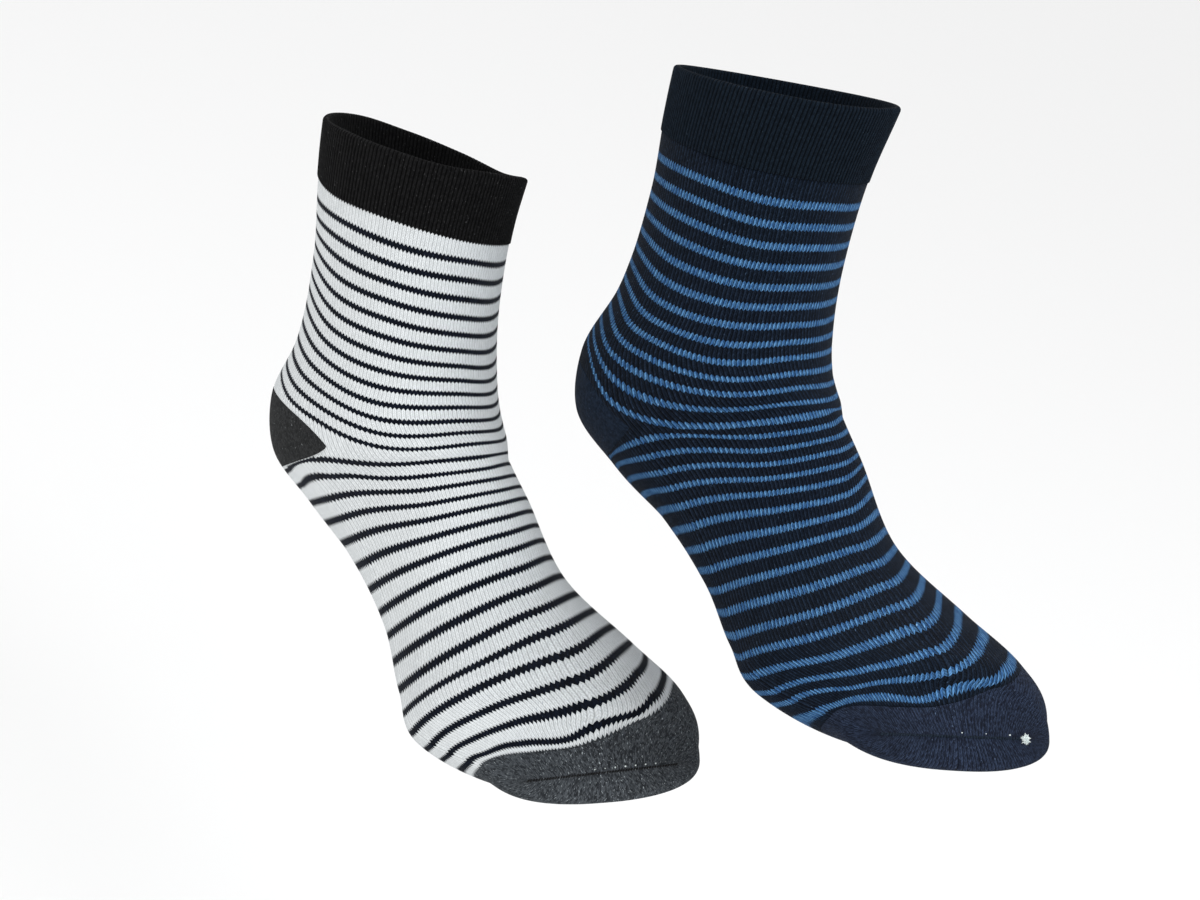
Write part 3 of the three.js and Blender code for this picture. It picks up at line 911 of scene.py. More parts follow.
class KnitGroups:
    """The shader node groups that all the knitted finishes share."""

    # How many courses an arm of a stitch drops from the middle of its wale to the wale's side
    ARM_SLOPE = 1.0
    # Roundness of a strand, the lowest share of its relief, and the dip between a stitch's two arms
    STRAND_POWER = 0.6
    STRAND_BASE = 0.5
    DIP_REACH = 0.28
    DIP = 0.35
    # Noise that makes stitches lighter or darker, the weight of each arm's own number beside it,
    # and the range over which it turns from the shade to the light colour
    SOFT_SCALE = 900.0
    SOFT_DETAIL = 3.0
    ARM_WEIGHT = 0.6
    LIGHT_RANGE = (0.45, 1.15)
    # Noise above this level is a stray fibre, less this much for each share of flecks
    STRAY_DETAIL = 2.0
    STRAY_LEVEL = 0.74
    STRAY_GAIN = 1.3
    STRAY_SHARPNESS = 14.0

    def __init__(self) -> None:
        """Builds both groups once."""
        self.stitches = self._stitches()
        self.yarn = self._yarn()

    @staticmethod
    def _group(name: str, inputs: dict[str, str], outputs: dict[str, str]) -> Graph:
        """An empty group with named sockets.

        Args:
            name: Name of the group.
            inputs: Kind of each input, as in NodeSocket and the kind.
            outputs: Kind of each output.

        Returns:
            The group's graph.
        """
        tree = bpy.data.node_groups.new(name, "ShaderNodeTree")
        for side, sockets in (("INPUT", inputs), ("OUTPUT", outputs)):
            for label, kind in sockets.items():
                tree.interface.new_socket(label, in_out=side, socket_type=f"NodeSocket{kind}")
        return Graph(tree)

    def _stitches(self) -> bpy.types.NodeTree:
        """Relief of the stitches: each wale is a column of pointed arches, two arms to a stitch.

        Returns:
            A group that turns the knit map into a height, a mask of the gaps between stitches for the painted shade,
            the slanted course number, a random value for each arm, and which of the two arms it is.
        """
        graph = self._group(
            "Knit stitches",
            {"Knit": "Vector", "Groove": "Float", "Groove from": "Float"},
            {"Height": "Float", "Cavity": "Float", "Course": "Float", "Arm": "Float", "Side": "Float"},
        )
        given = graph.node("NodeGroupInput").outputs
        wale, course, _ = graph.node("ShaderNodeSeparateXYZ", {0: given["Knit"]}).outputs
        inside = graph.math("FRACT", wale)
        away = graph.math("MULTIPLY", graph.math("ABSOLUTE", graph.math("SUBTRACT", inside, 0.5)), 2.0)
        slanted = graph.math("SUBTRACT", course, graph.math("MULTIPLY", away, self.ARM_SLOPE))
        across = graph.math("SINE", graph.math("MULTIPLY", graph.math("FRACT", slanted), math.pi))
        strand = graph.math("POWER", graph.math("MAXIMUM", across, 0.0), self.STRAND_POWER)
        groove = graph.math("MULTIPLY", graph.smooth(away, given["Groove from"], 1.0), given["Groove"])
        dip = graph.math("MULTIPLY", graph.smooth(away, self.DIP_REACH, 0.0), self.DIP)
        top = graph.math("MULTIPLY", graph.math("SUBTRACT", 1.0, groove), graph.math("SUBTRACT", 1.0, dip))
        round_top = graph.math("ADD", graph.math("MULTIPLY", strand, 1 - self.STRAND_BASE), self.STRAND_BASE)
        height = graph.math("MULTIPLY", top, round_top)
        cell = graph.join(graph.math("FLOOR", graph.math("MULTIPLY", wale, 2.0)), graph.math("FLOOR", slanted))
        noise = graph.node("ShaderNodeTexWhiteNoise", {"Vector": cell}, noise_dimensions="2D")
        graph.node("NodeGroupOutput", {
            "Height": height, "Cavity": graph.math("SUBTRACT", 1.0, height, clamp=True), "Course": slanted,
            "Arm": noise.outputs["Value"], "Side": graph.math("LESS_THAN", inside, 0.5),
        })
        return graph.tree

    def _yarn(self) -> bpy.types.NodeTree:
        """Colour of a yarn: stitches lighter and darker than each other, and single stray fibres.

        Returns:
            A group that turns three colours, two shares and a place into one colour.
        """
        graph = self._group(
            "Yarn colour",
            {
                "Place": "Vector", "Strand": "Vector", "Arm": "Float", "Shade": "Color", "Light": "Color",
                "Fleck": "Color", "Heather": "Float", "Flecks": "Float",
            },
            {"Color": "Color"},
        )
        given = graph.node("NodeGroupInput").outputs
        soft = graph.noise(given["Place"], self.SOFT_SCALE, self.SOFT_DETAIL)
        mixed = graph.math("ADD", graph.math("MULTIPLY", given["Arm"], self.ARM_WEIGHT), soft)
        share = graph.math("MULTIPLY", graph.smooth(mixed, *self.LIGHT_RANGE), given["Heather"])
        base = graph.blend(share, given["Shade"], given["Light"])
        stray = graph.noise(given["Strand"], 1.0, self.STRAY_DETAIL)
        edge = graph.math("SUBTRACT", self.STRAY_LEVEL, graph.math("MULTIPLY", given["Flecks"], self.STRAY_GAIN))
        over = graph.math("MULTIPLY", graph.math("SUBTRACT", stray, edge), self.STRAY_SHARPNESS, clamp=True)
        graph.node("NodeGroupOutput", {"Color": graph.blend(over, base, given["Fleck"])})
        return graph.tree


class KnitMaterial:
    """Makes the material of one knitted finish."""

    ROUGHNESS = 0.92
    SPECULAR = 0.06
    SHEEN_ROUGHNESS = 0.45
    BUMP_DISTANCE = 0.45 * MM
    FIBRE_SCALE = 5200.0
    FIBRE_DETAIL = 2.0
    FIBRE_RELIEF = 0.22
    # Fibres for each wale and each course, where single stray ones show
    STRANDS = (2.0, 0.8)
    # Courses below the cuff that a stripe may not reach
    PLAIN_COURSES = 3.0

    def __init__(self, groups: KnitGroups) -> None:
        """Keeps the shared groups."""
        self.groups = groups

    def _colour(self, graph: Graph, finish: KnitFinish, course: object, places: dict[str, object]) -> object:
        """Colour of the piece: its ground, its stripes and the teeth of the pieces beside it.

        Args:
            graph: The material's graph.
            finish: What the knit is made of.
            course: The slanted course number.
            places: Place, strand and arm, which the yarns are coloured by.

        Returns:
            The colour before the shadows between the stitches.
        """
        def yarn(kind: Yarn) -> bpy.types.NodeSocket:
            """Colour of one yarn."""
            looks = {name.title(): getattr(kind, name) for name in ("shade", "light", "fleck", "heather", "flecks")}
            return graph.node("ShaderNodeGroup", places | looks, node_tree=self.groups.yarn).outputs["Color"]

        colour = yarn(finish.ground)
        if finish.stripe:
            middle = graph.math("ADD", course, finish.stripe_courses / 2 + KnitGroups.ARM_SLOPE / 2)
            number = graph.math("FLOORED_MODULO", middle, float(COURSES_PER_STRIPE))
            band = graph.math("LESS_THAN", number, finish.stripe_courses)
            below_cuff = graph.math("GREATER_THAN", course, self.PLAIN_COURSES)
            colour = graph.blend(graph.math("MULTIPLY", band, below_cuff), colour, yarn(finish.stripe))
        if finish.start:
            colour = graph.blend(graph.math("LESS_THAN", course, FIRST_COURSE), colour, yarn(finish.start))
        if finish.end:
            last = finish.last_course - KnitGroups.ARM_SLOPE
            colour = graph.blend(graph.math("GREATER_THAN", course, last), colour, yarn(finish.end))
        return colour

    def build(self, finish: KnitFinish) -> bpy.types.Material:
        """Makes the material.

        Args:
            finish: What the knit is made of.

        Returns:
            A material that reads the UV map knit and object coordinates.
        """
        material = bpy.data.materials.new(finish.name)
        material.use_nodes = True
        graph = Graph(material.node_tree)
        knit = graph.node("ShaderNodeUVMap", uv_map="knit").outputs[0]
        place = graph.node("ShaderNodeTexCoord").outputs["Object"]
        given = {"Knit": knit, "Groove": finish.groove, "Groove from": finish.groove_from}
        stitch = graph.node("ShaderNodeGroup", given, node_tree=self.groups.stitches).outputs
        wale, _, depth = graph.node("ShaderNodeSeparateXYZ", {0: knit}).outputs
        across, along = self.STRANDS
        strand = graph.join(
            graph.math("MULTIPLY", wale, across), graph.math("MULTIPLY", stitch["Course"], along), depth
        )
        places = {"Place": place, "Strand": strand, "Arm": stitch["Arm"]}
        colour = self._colour(graph, finish, stitch["Course"], places)
        # Painted shade: the base colour is darkened in the gaps between stitches, where shade would fall.
        gap_shade = graph.math("MULTIPLY", stitch["Cavity"], finish.painted_gap_shade)
        # Painted shade: one arm of each stitch is darkened, as if turned from the light.
        turned = graph.math("MULTIPLY", stitch["Side"], finish.painted_arm_shade)
        shadow = graph.math("SUBTRACT", graph.math("SUBTRACT", 1.0, gap_shade), turned, clamp=True)
        fuzz = graph.math("MULTIPLY", graph.noise(place, self.FIBRE_SCALE, self.FIBRE_DETAIL), self.FIBRE_RELIEF)
        bump = graph.node("ShaderNodeBump", {
            "Strength": finish.bump, "Distance": self.BUMP_DISTANCE,
            "Height": graph.math("ADD", stitch["Height"], fuzz),
        })
        shader = material.node_tree.nodes["Principled BSDF"]
        for label, value in (
            ("Base Color", graph.blend(1.0, colour, graph.join(shadow, shadow, shadow), "MULTIPLY")),
            ("Normal", bump.outputs[0]), ("Roughness", self.ROUGHNESS), ("Specular IOR Level", self.SPECULAR),
            ("Sheen Weight", finish.sheen), ("Sheen Roughness", self.SHEEN_ROUGHNESS),
        ):
            graph.feed(shader.inputs[label], value)
        return material


@dataclass(frozen=True)
class ThreadFinish:
    """Finish of a sewing thread.

    Attributes:
        name: Name of the material.
        yarn: Its yarn.
        scale: Size of its fibres, as the scale of their pattern.
    """

    name: str
    yarn: Yarn
    scale: float = 1600.0


class ThreadMaterial:
    """Makes the material of a sewing thread."""

    FIBRE_DETAIL = 3.0
    LIGHT_RANGE = (0.4, 0.65)
    ROUGHNESS = 0.9
    SPECULAR = 0.15

    def build(self, finish: ThreadFinish) -> bpy.types.Material:
        """Makes the material.

        Args:
            finish: What the thread is made of.

        Returns:
            A material that reads object coordinates.
        """
        material = bpy.data.materials.new(finish.name)
        material.use_nodes = True
        graph = Graph(material.node_tree)
        place = graph.node("ShaderNodeTexCoord").outputs["Object"]
        share = graph.smooth(graph.noise(place, finish.scale, self.FIBRE_DETAIL), *self.LIGHT_RANGE)
        shader = material.node_tree.nodes["Principled BSDF"]
        for label, value in (
            ("Base Color", graph.blend(share, finish.yarn.shade, finish.yarn.light)),
            ("Roughness", self.ROUGHNESS), ("Specular IOR Level", self.SPECULAR),
        ):
            graph.feed(shader.inputs[label], value)
        return material


class SockForm:
    """What the pieces of one sock share: its place, its wale lines and its edges."""

    def __init__(self, cut: SockCut) -> None:
        """Works out the wale lines.

        Args:
            cut: What the sock is like.
        """
        self.cut = cut
        turn = Euler([math.radians(value) for value in cut.turns], "XYZ").to_matrix().to_4x4()
        self.place = Matrix.Translation(Vector(cut.place) * MM) @ turn
        self.fine = WaleLines(even_angles(COLUMNS))
        self.coarse = WaleLines(even_angles(INNER_COLUMNS))

    def through_wall(self, station: np.ndarray, angles: np.ndarray) -> np.ndarray:
        """Unit vectors from the hollow to the outside."""
        away = OUTER.points(station, angles) - HOLLOW.points(station, angles)
        return away / np.linalg.norm(away, axis=-1, keepdims=True)

    def between(self, lines: WaleLines, first: np.ndarray, last: np.ndarray, shares: np.ndarray) -> np.ndarray:
        """Rows of stations between two edges.

        Args:
            lines: The wale lines.
            first: Station of the first edge on each line.
            last: Station of the last edge on each line.
            shares: Where the rows lie, as shares of the cloth between the edges.

        Returns:
            A station for each row and line.
        """
        start, finish = lines.length(first), lines.length(last)
        return lines.station(start + (finish - start) * shares[:, None])

    def creased(self, surface: FootForm, station: np.ndarray, angles: np.ndarray) -> np.ndarray:
        """Points of a surface, moved by the creases.

        Args:
            surface: The outer surface or the hollow.
            station: Stations in rows and columns.
            angles: Angle of each column.

        Returns:
            A point for each station.
        """
        wide = np.broadcast_to(angles[None, :], station.shape)
        move = crease_relief(self.cut, station, wide)
        return surface.points(station, wide) + self.through_wall(station, wide) * move[..., None]

    def toe_line(self, lines: WaleLines) -> np.ndarray:
        """Station of the toe cap's edge on each wale line."""
        end = lines.length(np.full(len(lines.angles), OUTER.end))
        return lines.station(end - around_line(TOE_DEPTH, lines.angles)[None, :])[0]


def wale_numbers(angles: np.ndarray, rows: int) -> np.ndarray:
    """Wale numbers of a grid of rows and angles."""
    return np.broadcast_to((angles / (2 * math.pi) * WALES)[None, :], (rows, len(angles)))


def join_edges(skin: Skin, outer: np.ndarray, inner: np.ndarray, columns: np.ndarray) -> None:
    """Joins an outer edge to an inner edge, which has fewer columns.

    Args:
        skin: The mesh so far.
        outer: Indices round the outer edge, COLUMN_STEP for each inner one.
        inner: Indices round the inner edge.
        columns: Numbers of the inner columns, one more than the stretches to join.
    """
    middle = COLUMN_STEP // 2
    for first, second in zip(columns[:-1], columns[1:]):
        run = [outer[(first * COLUMN_STEP + k) % COLUMNS] for k in range(COLUMN_STEP + 1)]
        left, right = inner[first % INNER_COLUMNS], inner[second % INNER_COLUMNS]
        quads = [[run[k], run[k + 1], left, left] for k in range(middle)]
        quads.append([run[middle], right, left, left])
        quads += [[run[k], run[k + 1], right, right] for k in range(middle, COLUMN_STEP)]
        skin.quads.append(np.array(quads))


@dataclass
class RibbedCuff:
    """Ribbed cuff with a rounded edge at the opening.

    Attributes:
        rows: Rows of its outer side.
        inner_rows: Rows of its inner side.
        hem_steps: Steps round its edge.
        hem_swell: How far the edge stands out past a half circle.
        hem_courses: Courses from one row of the edge to the next.
        profile: Height of the points across one rib.
        course: Height of one course of its knit.
    """

    rows: int = 40
    inner_rows: int = 16
    hem_steps: int = 6
    hem_swell: float = 0.25 * MM
    hem_courses: float = 0.5
    profile: tuple[float, ...] = (0.0, 0.42 * MM, 0.55 * MM, 0.42 * MM)
    course: float = 0.9 * MM

    def build(self, form: SockForm) -> bpy.types.Object:
        """Makes the cuff of one sock.

        Args:
            form: The sock.

        Returns:
            A closed shell.
        """
        skin, lines = Skin(), WaleLines(even_angles(WALES * len(self.profile)))
        angles = lines.angles
        rim = around_line(form.cut.rim, angles)
        foot = around_line(form.cut.cuff_foot, angles) - JOIN_GAP
        start = rim + WALL / 2
        length = (lines.length(foot) - lines.length(start))[0] / self.course
        shares = np.linspace(0, 1, self.rows + 1)
        station = form.between(lines, start, foot, shares)
        ribs = np.tile(self.profile, WALES)
        wide = np.broadcast_to(angles[None, :], station.shape)
        outside = OUTER.points(station, wide) + form.through_wall(station, wide) * ribs[None, :, None]
        inner_shares = np.linspace(0, 1, self.inner_rows + 1)
        inner_station = form.between(lines, start, foot, inner_shares)
        inside = HOLLOW.points(inner_station, np.broadcast_to(angles[None, :], inner_station.shape))
        hem = self._hem(outside[0], inside[0], OUTER.points(rim, angles) - OUTER.points(start, angles))
        grids = []
        for points, courses in (
            (hem, -length[None, :] - np.arange(len(hem), 0, -1)[:, None] * self.hem_courses),
            (outside, -(1 - shares)[:, None] * length[None, :]),
            (inside, -(1 - inner_shares)[:, None] * length[None, :]),
        ):
            grids.append(skin.grid(points, np.stack([wale_numbers(angles, len(points)), courses], axis=-1)))
        skin.sheet(np.vstack([grids[2][:1], grids[0], grids[1]]), closed=True)
        skin.sheet(np.vstack([grids[1][-1:], grids[2][::-1]]), closed=True)
        return skin.build(f"{form.cut.name}_cuff_rib", form.place)

    def _hem(self, outer: np.ndarray, inner: np.ndarray, upward: np.ndarray) -> np.ndarray:
        """Rows of points over the edge, from the inner side to the outer side.

        Args:
            outer: Points of the outer side's edge.
            inner: Points of the inner side's edge.
            upward: Directions in which the edge swells.

        Returns:
            The rows between the two edges.
        """
        middle, across = (outer + inner) / 2, (outer - inner) / 2
        upward = upward / np.linalg.norm(upward, axis=1)[:, None]
        turns = [math.pi * k / self.hem_steps for k in range(1, self.hem_steps)]
        rise = WALL / 2 + self.hem_swell
        return np.array([middle - across * math.cos(turn) + upward * rise * math.sin(turn) for turn in turns])


@dataclass
class StripedTube:
    """Leg and foot in one striped tube, with the hole for the heel pocket.

    Attributes:
        leg_rows: Rows of the leg's outer side.
        foot_rows: Rows of the foot's outer side.
        inner_leg_rows: Rows of the leg's inner side.
        inner_foot_rows: Rows of the foot's inner side.
    """

    leg_rows: int = 68
    foot_rows: int = 98
    inner_leg_rows: int = 24
    inner_foot_rows: int = 44

    def build(self, form: SockForm) -> bpy.types.Object:
        """Makes the tube of one sock.

        Args:
            form: The sock.

        Returns:
            A closed shell.
        """
        skin, cut = Skin(), form.cut
        edges = {}
        for lines, leg_rows, foot_rows in (
            (form.fine, self.leg_rows, self.foot_rows), (form.coarse, self.inner_leg_rows, self.inner_foot_rows),
        ):
            angles = lines.angles
            outer = lines is form.fine
            surface = OUTER if outer else HOLLOW
            top = around_line(cut.cuff_foot, angles) + JOIN_GAP
            upper, lower = heel_line(cut.heel, angles, Edge.UPPER), heel_line(cut.heel, angles, Edge.LOWER)
            toe = form.toe_line(lines) - JOIN_GAP
            for name, first, last, rows in (("leg", top, upper, leg_rows), ("foot", lower, toe, foot_rows)):
                station = form.between(lines, first, last, np.linspace(0, 1, rows + 1))
                points = form.creased(surface, station, angles)
                courses = COURSES_PER_STRIPE * self._numbers(form, lines, (top, upper, lower, toe), station)
                index = skin.grid(points, np.stack([wale_numbers(angles, len(points)), courses], axis=-1))
                skin.sheet(index, closed=True)
                edges[outer, name] = index
        whole = np.arange(INNER_COLUMNS + 1)
        corner = round(cut.heel.corner_angle / 360.0 * INNER_COLUMNS)
        hole = np.arange(-corner, corner + 1)
        for name, row, columns in (("leg", 0, whole), ("foot", -1, whole), ("leg", -1, hole), ("foot", 0, hole)):
            join_edges(skin, edges[True, name][row], edges[False, name][row], columns)
        return skin.build(f"{cut.name}_body_jersey", form.place)

    @staticmethod
    def _numbers(form: SockForm, lines: WaleLines, edges: tuple[np.ndarray, ...], station: np.ndarray) -> np.ndarray:
        """Stripe number at each row and wale line.

        Args:
            form: The sock.
            lines: The wale lines.
            edges: Stations of the cuff's foot, the pocket's two edges and the toe cap's edge.
            station: Station of each row on each line.

        Returns:
            A number for each row and line, whole in the middle of a stripe.
        """
        cut = form.cut
        top, upper, lower, toe = edges
        toe_knots = form.toe_line(WaleLines(np.radians(list(STRIPE_ANGLES.values()))))
        leg, foot = (
            [(row.number, row.stations(lines.angles, toe, toe_knots)) for row in rows]
            for rows in (cut.leg_stripes, cut.foot_stripes)
        )
        past = (from_back(lines.angles) - math.radians(cut.heel.corner_angle)) / math.radians(CORNER_BLEND)
        front = np.clip(past, 0, 1)
        halfway = (leg[-1][1] + foot[0][1]) / 2
        above, below = (edge + (halfway - edge) * front for edge in (upper, lower))
        step = (leg[-1][1] - leg[-2][1]) / (leg[-1][0] - leg[-2][0])
        leg.append((leg[-1][0] + STRIPE_EDGE, np.minimum(leg[-1][1] + STRIPE_EDGE * step, above - JOIN_GAP)))
        step = (foot[1][1] - foot[0][1]) / (foot[1][0] - foot[0][0])
        even = (foot[0][1] - below) / (foot[0][0] - HEEL_STRIPE)
        step = step + (even - step) * front
        foot.insert(0, (foot[0][0] - STRIPE_EDGE, np.maximum(foot[0][1] - STRIPE_EDGE * step, below + JOIN_GAP)))
        leg = [(FIRST_COURSE / COURSES_PER_STRIPE, top), *leg, (HEEL_STRIPE, above)]
        foot = [(HEEL_STRIPE, below), *foot, (cut.last_stripe, toe)]
        numbers, places = [], []
        for knots in (leg, foot):
            fine = np.linspace(knots[0][0], knots[-1][0], NUMBER_STEPS)
            lengths = lines.length(np.vstack([at for _, at in knots]))
            numbers.append(fine)
            places.append(hermite(np.array([number for number, _ in knots]), lengths, fine))
        numbers = np.concatenate(numbers)
        places = np.maximum.accumulate(np.vstack(places), axis=0)
        return lines.read(lines.length(station), places, np.broadcast_to(numbers[:, None], places.shape))


@dataclass
class HeelPatch:
    """Heel pocket: a patch that narrows to a point at each of its two corners.

    Attributes:
        rows: Rows from its upper to its lower edge.
        course: Height of one course of its knit.
    """

    rows: int = 40
    course: float = 0.95 * MM

    def build(self, form: SockForm) -> bpy.types.Object:
        """Makes the pocket of one sock.

        Args:
            form: The sock.

        Returns:
            A closed shell.
        """
        skin, heel = Skin(), form.cut.heel
        corner = math.radians(heel.corner_angle)
        count = round(heel.corner_angle / 360.0 * COLUMNS)
        angles = np.linspace(-corner, corner, 2 * count + 1)
        lines = WaleLines(angles)
        upper, lower = heel_line(heel, angles, Edge.UPPER), heel_line(heel, angles, Edge.LOWER)
        middle = (upper + lower) / 2
        half = np.maximum((lower - upper) / 2 - JOIN_GAP, 0.0)
        shares = np.linspace(0, 1, self.rows + 1)
        station = form.between(lines, middle - half, middle + half, shares)
        station[:, 0] = station[:, -1] = heel.corner * MM
        length = lines.length(station)
        courses = (length - length.mean(axis=0, keepdims=True)) / self.course
        knit = np.stack([wale_numbers(angles, len(station)) + WALES, courses], axis=-1)
        outer, inner = (skin.grid(form.creased(surface, station, angles), knit) for surface in (OUTER, HOLLOW))
        skin.sheet(outer, closed=False)
        skin.sheet(inner[::-1], closed=False)
        for row, column in ((0, None), (-1, None), (None, 0), (None, -1)):
            edge = [grid[row] if column is None else grid[:, column] for grid in (outer, inner)]
            skin.sheet(np.stack(edge), closed=False)
        return skin.build(f"{form.cut.name}_heel_pocket", form.place)


@dataclass
class ToeCap:
    """Toe cap, open towards the foot and closed along the toe seam.

    Attributes:
        rows: Rows from its edge to the seam.
        crowding: How much closer the rows lie towards the seam.
        course: Height of one course of its knit.
    """

    rows: int = 46
    crowding: float = 1.2
    course: float = 0.95 * MM

    def build(self, form: SockForm) -> bpy.types.Object:
        """Makes the toe cap of one sock.

        Args:
            form: The sock.

        Returns:
            A closed shell.
        """
        skin = Skin()
        shares = 1 - (1 - np.linspace(0, 1, self.rows + 1)) ** self.crowding
        grids = []
        for lines, surface in ((form.fine, OUTER), (form.coarse, HOLLOW)):
            start = form.toe_line(lines) + JOIN_GAP
            station = form.between(lines, start, np.full(len(lines.angles), OUTER.end), shares)
            points = form.creased(surface, station, lines.angles)
            length = lines.length(station)
            courses = (length - length[-1:]) / self.course
            knit = np.stack([wale_numbers(lines.angles, len(points)), courses], axis=-1)
            grids.append(skin.grid(points, knit))
            skin.sheet(grids[-1], closed=True)
        join_edges(skin, grids[0][0], grids[1][0], np.arange(INNER_COLUMNS + 1))
        return skin.build(f"{form.cut.name}_toe_cap", form.place)


class StitchRow:
    """Geometry nodes that set one stitch after another along a path."""

    INPUTS = {
        "Count": "Int", "Length": "Float", "Width": "Float", "Height": "Float", "Slant": "Float",
        "Turn spread": "Float", "Least size": "Float", "Seed": "Int", "Material": "Material",
    }
    BEAD = {"Segments": 8, "Rings": 6, "Radius": 0.5}

    def __init__(self) -> None:
        """Builds the tree once."""
        self.tree = self._tree()

    def _tree(self) -> bpy.types.NodeTree:
        """Makes the tree: a bead at each point of the path, stretched and turned into a stitch.

        Returns:
            A tree with a path and INPUTS as its inputs.
        """
        tree = bpy.data.node_groups.new("Row of stitches", "GeometryNodeTree")
        for label, kind in {"Path": "Geometry", **self.INPUTS}.items():
            tree.interface.new_socket(label, in_out="INPUT", socket_type=f"NodeSocket{kind}")
        tree.interface.new_socket("Stitches", in_out="OUTPUT", socket_type="NodeSocketGeometry")
        graph = Graph(tree)
        given = graph.node("NodeGroupInput").outputs
        path = graph.node("GeometryNodeMeshToCurve", {"Mesh": given["Path"]}).outputs["Curve"]
        even = graph.node("GeometryNodeResampleCurve", {"Curve": path, "Count": given["Count"]})
        tangent = graph.node("GeometryNodeInputTangent").outputs[0]
        along = graph.node("FunctionNodeAlignRotationToVector", {"Vector": tangent}, axis="X")
        reach = graph.join(*[given["Turn spread"]] * 3)
        low = graph.node("ShaderNodeVectorMath", {0: reach, "Scale": -1.0}, operation="SCALE")
        # The random nodes' first two inputs are the ends of a vector's range, the next two a number's
        limits = {0: low.outputs[0], 1: reach, "Seed": given["Seed"]}
        spread = graph.node("FunctionNodeRandomValue", limits, data_type="FLOAT_VECTOR")
        slant = graph.join(0.0, 0.0, given["Slant"])
        lean = graph.node("ShaderNodeVectorMath", {0: slant, 1: spread.outputs[0]}, operation="ADD")
        turn = graph.node("FunctionNodeEulerToRotation", {0: lean.outputs[0]})
        turns = {0: along.outputs[0], 1: turn.outputs[0]}
        facing = graph.node("FunctionNodeRotateRotation", turns, rotation_space="LOCAL")
        limits = {2: given["Least size"], 3: 1.0, "Seed": given["Seed"]}
        size = graph.node("FunctionNodeRandomValue", limits, data_type="FLOAT")
        whole = graph.join(given["Length"], given["Width"], given["Height"])
        full = graph.node("ShaderNodeVectorMath", {0: whole, "Scale": size.outputs[1]}, operation="SCALE")
        placed = graph.node("GeometryNodeInstanceOnPoints", {
            "Points": even.outputs["Curve"],
            "Instance": graph.node("GeometryNodeMeshUVSphere", self.BEAD).outputs["Mesh"],
            "Rotation": facing.outputs[0], "Scale": full.outputs[0],
        })
        real = graph.node("GeometryNodeRealizeInstances", {0: placed.outputs[0]})
        dressed = {"Geometry": real.outputs[0], "Material": given["Material"]}
        graph.node("NodeGroupOutput", {0: graph.node("GeometryNodeSetMaterial", dressed).outputs[0]})
        return tree

    def build(self, name: str, path: np.ndarray, values: dict[str, object]) -> bpy.types.Object:
        """Sets the stitches along a path and turns them into a plain mesh.

        Args:
            name: Name of the piece.
            path: Points of the path, in the frame of the whole part.
            values: Value of each input of the tree.

        Returns:
            The piece, without a modifier.
        """
        line = bpy.data.meshes.new(f"{name}_path")
        line.from_pydata([tuple(point) for point in path], [(k, k + 1) for k in range(len(path) - 1)], [])
        carrier = put(f"{name}_path", line)
        modifier = carrier.modifiers.new("Stitches", "NODES")
        modifier.node_group = self.tree
        for item in self.tree.interface.items_tree:
            if item.item_type == "SOCKET" and item.in_out == "INPUT" and item.name in values:
                modifier[item.identifier] = values[item.name]
        evaluated = carrier.evaluated_get(bpy.context.evaluated_depsgraph_get())
        mesh = bpy.data.meshes.new_from_object(evaluated)
        mesh.name = name
        mesh.polygons.foreach_set("use_smooth", [True] * len(mesh.polygons))
        bpy.data.objects.remove(carrier)
        bpy.data.meshes.remove(line)
        return put(name, mesh)


